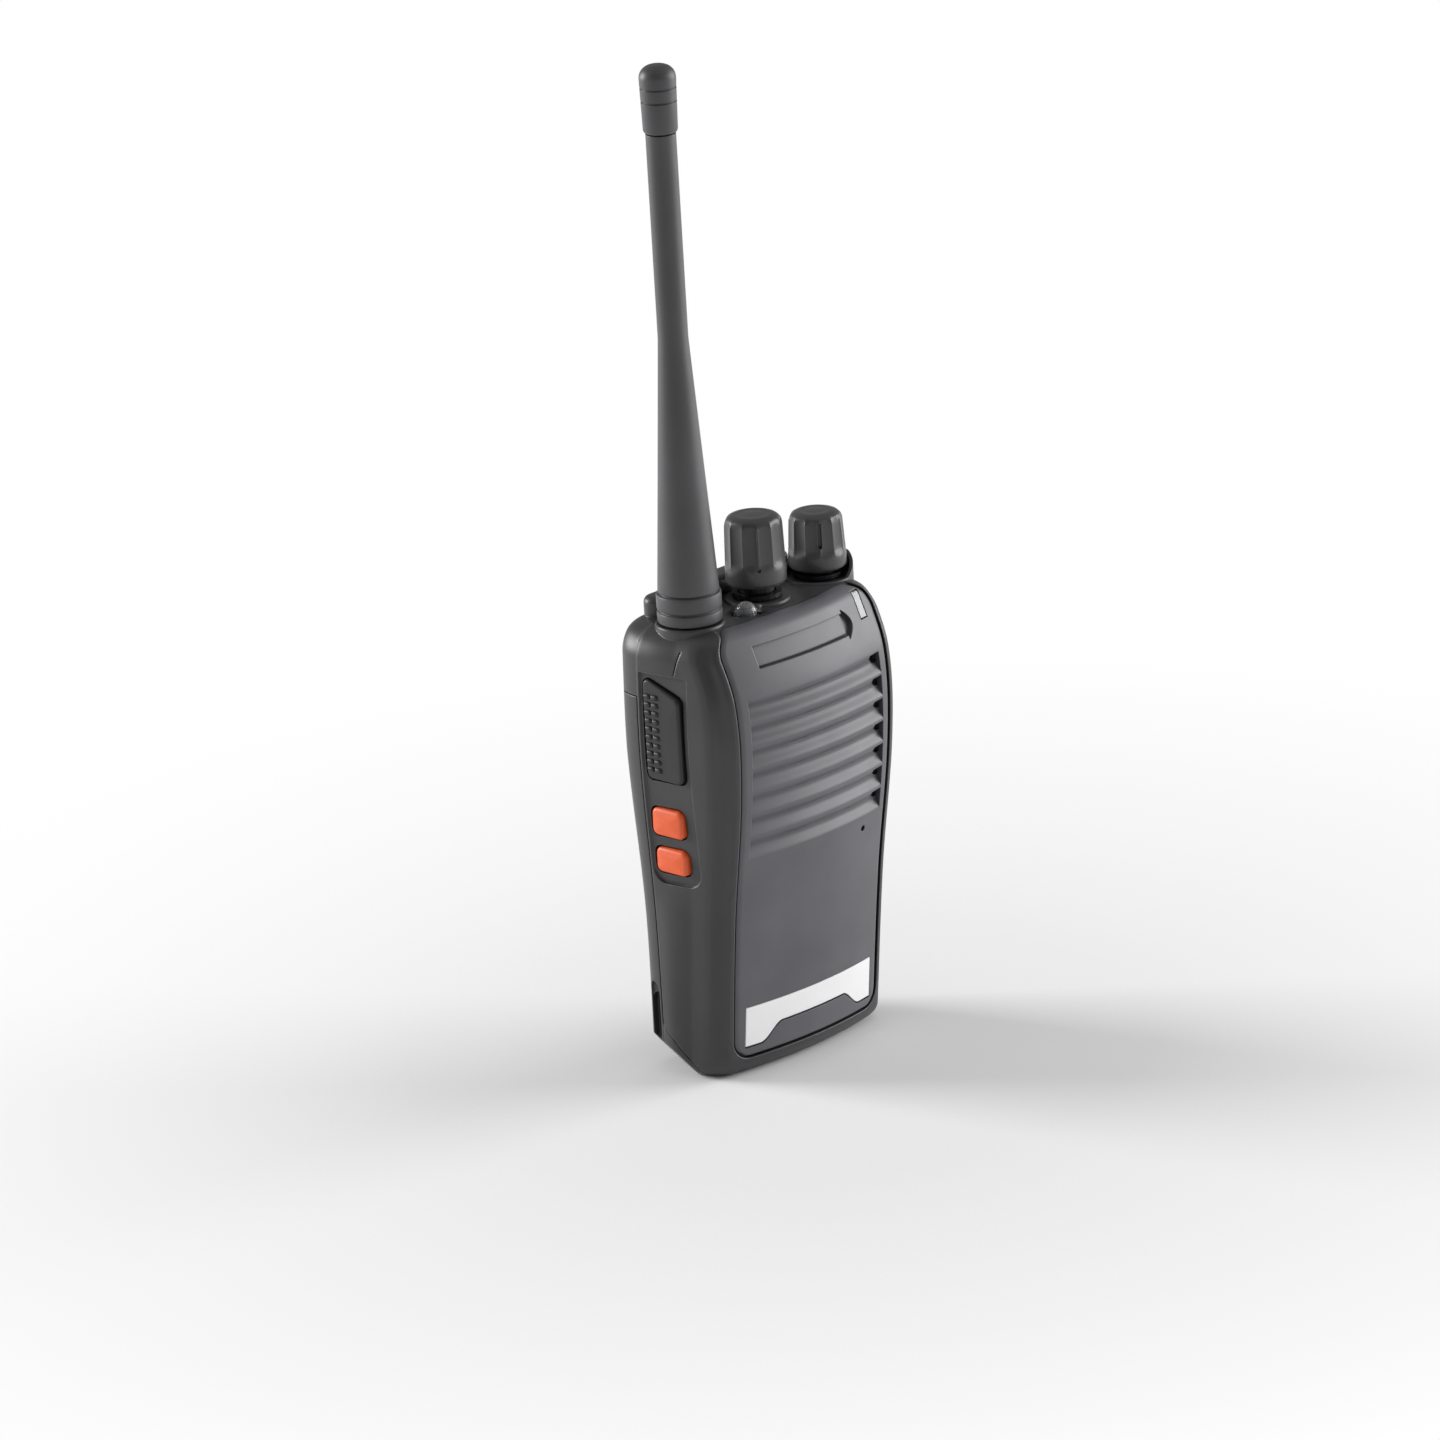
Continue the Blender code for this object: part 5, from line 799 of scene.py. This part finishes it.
def louvre_panel():
    """The front panel with its louvres, sound slits, bare badge recess, label recess and holes."""
    def roll(x, z, row):
        edge_radius = 0.4
        return fillet(min(row[-1][0] - abs(x), z - PANEL_LOW), edge_radius)

    panel = surface_plate("louvre_panel", panel_grid(0.0, 81), 0.0, PANEL_THICK, roll)
    tools = louvre_pockets()
    for i in range(LOUVRES):
        top_z = LOUVRE_TOP - LOUVRE_PITCH * i
        tools.append(louvre("scoop_%d" % i, top_z))
        slit = rectangle_grid(-SLIT_HALF, SLIT_HALF, top_z - SLIT_LOW, top_z - SLIT_HIGH, 25)
        tools.append(surface_plate("slit_%d" % i, slit, -WALL, 2 * WALL))
    end = BADGE_RIGHT - GAP
    crescent = []
    for t in spread(0.0, 1.0, 15):
        far = end + CRESCENT_EDGE + CRESCENT_WIDTH * math.sin(math.pi * t)
        crescent.append([(x, BADGE_LOW - CRESCENT_DROP + CRESCENT_HEIGHT * t) for x in spread(end, far, 6)])
    line = rectangle_grid(BADGE_LEFT, BADGE_RIGHT, BADGE_LOW, BADGE_LOW + BADGE_LINE_HEIGHT, 40, 3)
    tools += [
        surface_plate("label_recess", label_grid(LABEL_GAP, LABEL_FOOT_GAP), -WALL, LABEL_RECESS),
        surface_plate("badge_recess", rectangle_grid(BADGE_LEFT, BADGE_RIGHT, BADGE_LOW, BADGE_HIGH, 40, 8),
                      -WALL, BADGE_DEPTH),
        surface_plate("badge_line", line, -WALL, BADGE_DEPTH + BADGE_LINE_DEPTH),
        surface_plate("badge_slot", crescent, -WALL, CRESCENT_DEPTH),
        rod("mic_hole", "Y", MIC, MIC_HOLE, -SPEAKER_FRONT - WALL, -WALL, 24),
        surface_plate("status_slot", status_grid(GAP), -WALL, 2 * WALL),
    ]
    cut(panel, *tools)
    return finish_piece(panel, "radio", "panel_grey", ["front_panel"])


def front_fittings():
    """The blank label plate and the window of the status light."""
    label = surface_plate("label_face", label_grid(0.0, 0.0), 0.0, LABEL_THICK)
    finish_piece(label, "radio", "label_white", ["label_plate"])
    window = surface_plate("status_window", status_grid(0.0), 0.0, PANEL_THICK)
    finish_piece(window, "radio", "clear_lens", ["status_light_pipe"], MILKY)


# Knobs, antenna and torch

def knob(name, node_name, body, x, lift, radius, top_radius, height, ribbed):
    """A scalloped knob: smooth skirt, shallow flutes, rolled top edge, domed cap and a pointer.

    Its shape is a list of rings: share of the height, radius, and share of the flutes' depth.
    """
    base, pointer = HEIGHT + lift, POINTER_TURN
    shape = [(0.0, radius - 0.35, 0.0), (0.02, radius - 0.1, 0.0), (0.05, radius, 0.0), (0.22, radius, 0.0),
             (0.26, radius * 0.995, 0.15), (0.30, radius * 0.992, 0.6), (0.33, radius * 0.99, 0.9)]
    shape += [(share, radius + (top_radius - radius) * share ** 1.5, 1.0) for share in spread(0.37, 0.84, 8)]
    shape += [(share, top_radius - inset, flute) for share, inset, flute in (
        (0.88, 0.02, 0.8), (0.915, 0.22, 0.4), (0.945, 0.62, 0.15), (0.966, 1.15, 0.0), (0.98, 1.9, 0.0),
        (0.988, 2.6, 0.0), (0.984, 2.8, 0.0), (0.984, 3.4, 0.0))]
    shape += [(0.992, 1.4, 0.0), (0.995, 0.3, 0.0)]
    count = 192
    rings = []
    for share, ring_radius, flute in shape:
        ring = []
        for i in range(count):
            turn = pointer + 2 * math.pi * i / count
            scallop = FLUTE_DEPTH * flute * abs(math.sin(FLUTES / 2 * (turn - pointer))) ** 0.7
            reach = ring_radius - scallop
            ring.append((x + reach * math.cos(turn), CONTROL_Y + reach * math.sin(turn),
                         base + height * share))
        rings.append(ring)
    cap = loft(name, rings)
    axis = (x, CONTROL_Y)
    cut(cap, rod(name + "_bore", "Z", axis, SHAFT_BORE, base - MARGIN, base + SHAFT_GRIP))
    if ribbed:
        rib = rounded(rectangle(-0.3, 0.3, base + height * 0.34, base + height * 0.86), 0.28, 5)
        fuse(cap, radial_prism(name + "_rib", axis, pointer, rib, top_radius - 1.0, top_radius + 0.22))
        dot = circle(0.0, base + height * 0.27, 0.42, 20)
        cut(cap, radial_prism(name + "_dot", axis, pointer, dot, radius - 0.7, radius + WALL))
    else:
        slot = rounded(rectangle(-0.42, 0.42, base + height * 0.42, base + height * 0.88), 0.4, 5)
        cut(cap, radial_prism(name + "_slot", axis, pointer, slot, top_radius - 0.9, radius + WALL))
    return finish_piece(cap, body, "knob_black", [node_name])


def antenna():
    """The whip: ringed skirt, long cone, slim rod, and a ringed cap with a flat dome."""
    axis = (ANTENNA_X, CONTROL_Y)
    neck = WHIP_LENGTH - TIP_LENGTH
    cone_radius, cone_top, cone_foot, cone_swell = 6.6, 62.5, 7.0, 1.02
    upper_ring = [(6.58, 6.85), (6.4, 6.7), (6.35, 6.55), (6.45, 6.45), (6.8, 6.4), (6.93, 6.3), (7.0, 6.05)]
    lower_ring = [(7.0, 3.3), (6.95, 3.1), (6.7, 2.95), (6.55, 2.75), (6.7, 2.55), (6.95, 2.4), (7.0, 2.2)]
    foot = [(7.0, 0.5), (6.9, 0.15), (6.6, 0.0)]
    bore = [(4.7, 0.0), (4.7, 9.6), (1.3, 12.0), (1.3, neck - GAP)]
    sheath = [(WHIP_RADIUS, neck - GAP), (WHIP_RADIUS, neck - 6.0)]
    for t in spread(0.0, 1.0, 24):
        sheath.append((WHIP_RADIUS + (cone_radius - WHIP_RADIUS) * t ** cone_swell,
                       cone_top + (cone_foot - cone_top) * t))
    sheath += upper_ring + lower_ring + foot + bore
    whip = lathe("whip_sheath", [(r, WHIP_BASE + z) for r, z in sheath], axis)
    finish_piece(whip, "antenna_whip", "antenna_rubber", ["antenna_sheath"])
    top, dome = WHIP_LENGTH, 2.9
    cap = [(0.0, top)]
    for a in spread(0.12, math.pi / 2, 14):
        cap.append((TIP_RADIUS * math.sin(a) ** 0.75, top - dome * (1 - math.cos(a))))

    def wall(z):
        return TIP_FOOT + (TIP_RADIUS - TIP_FOOT) * (z - neck) / (top - dome - neck)

    for drop in TIP_RINGS:
        for step, depth in ((0.22, 0.0), (0.1, 0.24), (-0.1, 0.24), (-0.22, 0.0)):
            cap.append((wall(top - drop + step) - depth, top - drop + step))
    cap += [(wall(neck + 0.6), neck + 0.6), (TIP_FOOT - 0.12, neck + 0.2), (TIP_FOOT - 0.35, neck),
            (0.0, neck)]
    tip = lathe("whip_cap", [(r, WHIP_BASE + z) for r, z in cap], axis)
    finish_piece(tip, "antenna_whip", "antenna_rubber", ["antenna_tip"])


def torch():
    """A clear ball lens over a small dark cup, in a dulled ring."""
    low, dome, rim = HEIGHT - DECK - WALL, HEIGHT + TORCH_RISE, HEIGHT - TORCH_DROP
    radius, inner = TORCH_RADIUS, TORCH_RADIUS + GAP
    ball = inner - GAP / 3
    lens = [(0.0, dome + GAP)]
    for a in spread(0.12, math.pi * 0.62, 20):
        lens.append((ball * math.sin(a), dome + GAP - ball * (1 - math.cos(a))))
    lens += [(radius, low + WALL), (radius, low), (0.0, low)]
    finish_piece(lathe("torch_dome", lens, TORCH), "radio", "clear_lens", ["torch_lens"], LENS)
    ring = [(inner + 0.25, rim + 0.5), (inner + 0.42, rim + 0.42), (inner + BEZEL, rim + 0.2),
            (inner + BEZEL, HEIGHT - DECK), (inner, HEIGHT - DECK), (inner, rim + 0.35),
            (inner + 0.1, rim + 0.47)]
    finish_piece(lathe("torch_ring", ring, TORCH), "radio", "bright_metal", ["torch_bezel"], DULLED)
    cup = [(0.0, HEIGHT - 0.2), (0.5, HEIGHT - 0.25), (0.9, HEIGHT - 0.6), (1.0, HEIGHT - 1.0),
           (1.0, low + 1.2), (0.0, low + 1.2)]
    finish_piece(lathe("torch_cup", cup, TORCH), "radio", "bright_metal", (), BLACKENED)


# Side keys, socket cover and battery

def side_key(name, node_name, body, slot, proud, roll, crown):
    """A key cap with a rolled rim and a crowned face, over the flange that holds it in."""
    bottom, top = KEYS[node_name][:2]
    face = side_x(KEY_Y, (bottom + top) / 2) + proud
    flange = key_flange_x(node_name)
    rings = [[(-flange + KEY_FLANGE / 2, y, z) for y, z in key_outline(node_name, 0.0)]]
    for turn in quarter_turn(7):
        inset, lift = roll * (1 - math.cos(turn)), roll * math.sin(turn)
        rings.append([(-(face - roll + lift), y, z) for y, z in key_outline(node_name, -inset)])
    last = key_outline(node_name, -roll)
    centre = (sum(y for y, z in last) / len(last), sum(z for y, z in last) / len(last))
    for shrink in (0.93, 0.83, 0.72, 0.6, 0.47, 0.33, 0.2, 0.08):
        rise = crown * (1 - shrink * shrink)
        rings.append([(-(face + rise), *between(centre, point, shrink)) for point in last])
    cap = loft(name, rings)
    fuse(cap, prism(name + "_lip", key_outline(node_name, KEY_FLANGE), "X", -flange, -flange + KEY_FLANGE))
    return finish_piece(cap, body, slot, [node_name])


def talk_grip():
    """Two columns of small moulded bumps along the rear half of the talk button."""
    bottom, top = KEYS["ptt_button"][:2]
    face = side_x(KEY_Y, (bottom + top) / 2) + TALK_PROUD
    bm = bmesh.new()
    dome = ((0.0, -0.25), (0.0, 0.12), (0.1, 0.34), (0.28, 0.5), (0.5, 0.56))
    for y in GRIP_COLUMNS:
        for row in range(GRIP_ROWS):
            z = bottom + GRIP_START + row * GRIP_PITCH
            rows = []
            for inset, lift in dome:
                edges = rectangle(y - GRIP_HALF_Y + inset, y + GRIP_HALF_Y - inset,
                                  z - GRIP_HALF_Z + inset, z + GRIP_HALF_Z - inset)
                outline = rounded(edges, max(GRIP_CORNER - inset, 0.05), 4)
                rows.append([bm.verts.new((-(face + lift), u, v)) for u, v in outline])
            bridge(bm, rows)
    finish_piece(new_object("talk_key_grip", bm), "talk_button", "key_rubber")


def battery_shell():
    """The part of the body behind the seam, with its dock grooves and cut corners."""
    steps = ((CAVITY_LOW - GAP, DOCK_DEPTH + 2.0), (DOCK_TOP, DOCK_DEPTH + 0.75))
    shell = loft("pack_shell", body_rings())
    combine(shell, "INTERSECT", [pack_zone("pack_outline", GAP)])
    rear = FOOT_BACK + MARGIN
    heel = [(HEEL_Y, -MARGIN), (HEEL_Y, 0.0), (FOOT_BACK, HEEL_Z), (rear, HEEL_Z + MARGIN), (rear, -MARGIN)]
    tools = [loft("pack_cavity", body_rings(PACK_WALL, 0.0, CAVITY_LOW, CAVITY_HIGH)),
             prism("heel", heel, "X", -FAR, FAR)]
    out = SHOULDER_WIDTH / 2
    for side in (-1, 1):
        rings = []
        for y, x in ((TOE_Y, CORNER_TOE_X), (FOOT_BACK, CORNER_BACK_X)):
            corners = ((x - MARGIN / CORNER_SLOPE, -MARGIN), (out, -MARGIN), (out, (out - x) * CORNER_SLOPE))
            rings.append([(side * reach, y, z) for reach, z in corners])
        tools.append(loft("corner_%d" % side, rings))
        for step, (groove_top, depth) in enumerate(steps):
            low_x, high_x = sorted((side * (half_width(DOCK_TOP) - depth), side * FAR))
            edges = rectangle(SEAM_Y + DOCK_FRONT, SEAM_Y + DOCK_BACK, DOCK_FOOT, groove_top)
            groove = rounded(edges, DOCK_CORNER, 8)
            tools.append(prism("dock_%d_%d" % (side, step), groove, "X", low_x, high_x))
        tools.append(rod("charge_%d" % side, "Y", (side * CHARGE_X, CHARGE_Z), CHARGE_HOLE,
                         back_y(CHARGE_Z) - GAP - WALL, BACK_Y + WALL))
    tools.append(box("latch_notch", *LATCH_NOTCH))
    cut(shell, *tools)
    return finish_piece(shell, "battery", "case_black", ["battery_case"])


def socket_flap():
    """The rubber cover of the accessory socket, with a rolled rim and finger grooves."""
    face, soft = side_x(0.0, JACK_Z) + GAP, 0.5
    groove_depth, groove_width, groove_half = 0.25, 0.4, 4.0

    def outline(inset):
        half_y, half_z = COVER_HALF_Y - inset, COVER_HALF_Z - inset
        return rounded(rectangle(-half_y, half_y, JACK_Z - half_z, JACK_Z + half_z), COVER_CORNER - inset, 8)

    rings = [[(face - COVER_THICK, y, z) for y, z in outline(0.0)]]
    for turn in quarter_turn(6):
        lift = face - soft * (1 - math.sin(turn))
        rings.append([(lift, y, z) for y, z in outline(soft * (1 - math.cos(turn)))])
    flap = loft("socket_flap", rings)
    cut(flap, *[box("grip_%d" % i, (face - groove_depth, y, JACK_Z - groove_half),
                    (face + 1.0, y + groove_width, JACK_Z + groove_half))
                for i, y in enumerate((-3.6, -2.7, -1.8))])
    return finish_piece(flap, "socket_cover", "key_rubber", ["jack_cover"])


def dress_nodes():
    """Gives every solid its material, from the record's slot for its node."""
    for row in frame["record"]["subparts"]:
        obj = frame["nodes"][row["node"]]
        material = NODE_FINISH.get(row["node"], MATERIALS[row["material_slot"]])
        obj.data.materials.clear()
        obj.data.materials.append(material)


# Studio

def studio():
    """A pale floor that turns white away from the object, a dim even surround and three soft boxes."""
    bm = bmesh.new()
    bmesh.ops.create_circle(bm, cap_ends=True, radius=FLOOR_RADIUS, segments=96)
    floor = new_object("studio_floor", bm)
    paper, tree, shader, coords = new_material("floor_paper", Specular_IOR_Level=0.1)
    fibre = noise(tree, coords, 900.0, 3.0)
    pulp = blend_colour(tree, fibre, (0.93, 0.93, 0.93), (0.96, 0.96, 0.96))
    feed(tree, pulp, shader, "Base Color")
    feed(tree, remap(tree, fibre, 0.3, 0.7, 0.75, 0.9), shader, "Roughness")
    away = tree.nodes.new("ShaderNodeVectorMath")
    away.operation = "LENGTH"
    feed(tree, coords.outputs["Object"], away, 0)
    path = tree.nodes.new("ShaderNodeLightPath")
    seen = path.outputs["Is Camera Ray"]
    for ray in ("Is Glossy Ray", "Is Transmission Ray"):
        seen = join(tree, "MAXIMUM", seen, path.outputs[ray])
    share = join(tree, "MULTIPLY", seen, remap(tree, away.outputs["Value"], *WHITE_RING))
    glow = node(tree, "ShaderNodeEmission", Strength=1.0)
    mixed = tree.nodes.new("ShaderNodeMixShader")
    feed(tree, share, mixed, "Fac")
    feed(tree, shader.outputs["BSDF"], mixed, 1)
    feed(tree, glow.outputs["Emission"], mixed, 2)
    tree.links.new(mixed.outputs["Shader"], tree.nodes["Material Output"].inputs["Surface"])
    floor.data.materials.append(paper)

    world = bpy.data.worlds.new("studio_surround")
    bpy.context.scene.world = world
    world.use_nodes = True
    background = world.node_tree.nodes["Background"]
    background.inputs["Color"].default_value = (1.0, 1.0, 1.0, 1.0)
    background.inputs["Strength"].default_value = SURROUND

    for name, azimuth, elevation, distance, size, power in LAMPS:
        turn, tilt = math.radians(azimuth), math.radians(elevation)
        away = Vector((math.sin(turn) * math.cos(tilt), -math.cos(turn) * math.cos(tilt), math.sin(tilt)))
        lamp = bpy.data.lights.new(name, "AREA")
        lamp.shape = "SQUARE"
        lamp.size = size
        lamp.energy = power
        holder = add_object(name, lamp)
        holder.location = LAMP_AIM + away * distance
        holder.rotation_euler = away.to_track_quat("Z", "Y").to_euler()


def across(forward):
    right = forward.cross(Vector((0.0, 0.0, 1.0))).normalized()
    return right, right.cross(forward)


def photo_camera():
    """The photograph's viewpoint, from a perspective fit of the body's edges.

    Angles are in degrees, the distance in metres and the focal length in the photograph's pixels.
    """
    azimuth, elevation, roll = (math.radians(v) for v in (45.9271, 18.9371, -3.4262))
    distance, focal, turn_x, turn_y = 2.184195, 10134.19, 0.0042, -0.0107
    back = Vector((-math.sin(azimuth) * math.cos(elevation), -math.cos(azimuth) * math.cos(elevation),
                   math.sin(elevation)))
    eye = Vector((0.0, 0.0, 0.05)) + back * distance
    forward = -back
    right, up = across(forward)
    forward = (forward - right * turn_x - up * turn_y).normalized()
    right, up = across(forward)
    side = right * math.cos(roll) + up * math.sin(roll)
    over = up * math.cos(roll) - right * math.sin(roll)
    camera = bpy.data.cameras.new("photo_camera")
    camera.sensor_width = 36.0
    camera.lens = focal / PHOTO_SIZE * camera.sensor_width
    camera.clip_start, camera.clip_end = 0.05, 60.0
    holder = add_object("photo_camera", camera)
    turn = Matrix((side, over, -forward)).transposed()
    holder.matrix_world = Matrix.Translation(eye) @ turn.to_4x4()
    bpy.context.scene.camera = holder


dress_nodes()
housing_shell()
louvre_panel()
front_fittings()
knob("channel_dial_cap", "channel_knob", "channel_dial", CHANNEL_X,
     lift=3.9, radius=6.6, top_radius=6.2, height=15.3, ribbed=True)
knob("volume_dial_cap", "volume_knob", "volume_dial", VOLUME_X,
     lift=2.3, radius=6.3, top_radius=5.7, height=12.6, ribbed=False)
antenna()
torch()
side_key("talk_key", "ptt_button", "talk_button", "key_rubber", TALK_PROUD, roll=0.7, crown=0.12)
talk_grip()
for place in ("upper", "lower"):
    side_key(place + "_orange_key", place + "_key", place + "_side_key", "key_orange",
             KEY_PROUD, roll=1.0, crown=0.3)
battery_shell()
socket_flap()
studio()
photo_camera()
bpy.context.scene.view_settings.view_transform = "Standard"
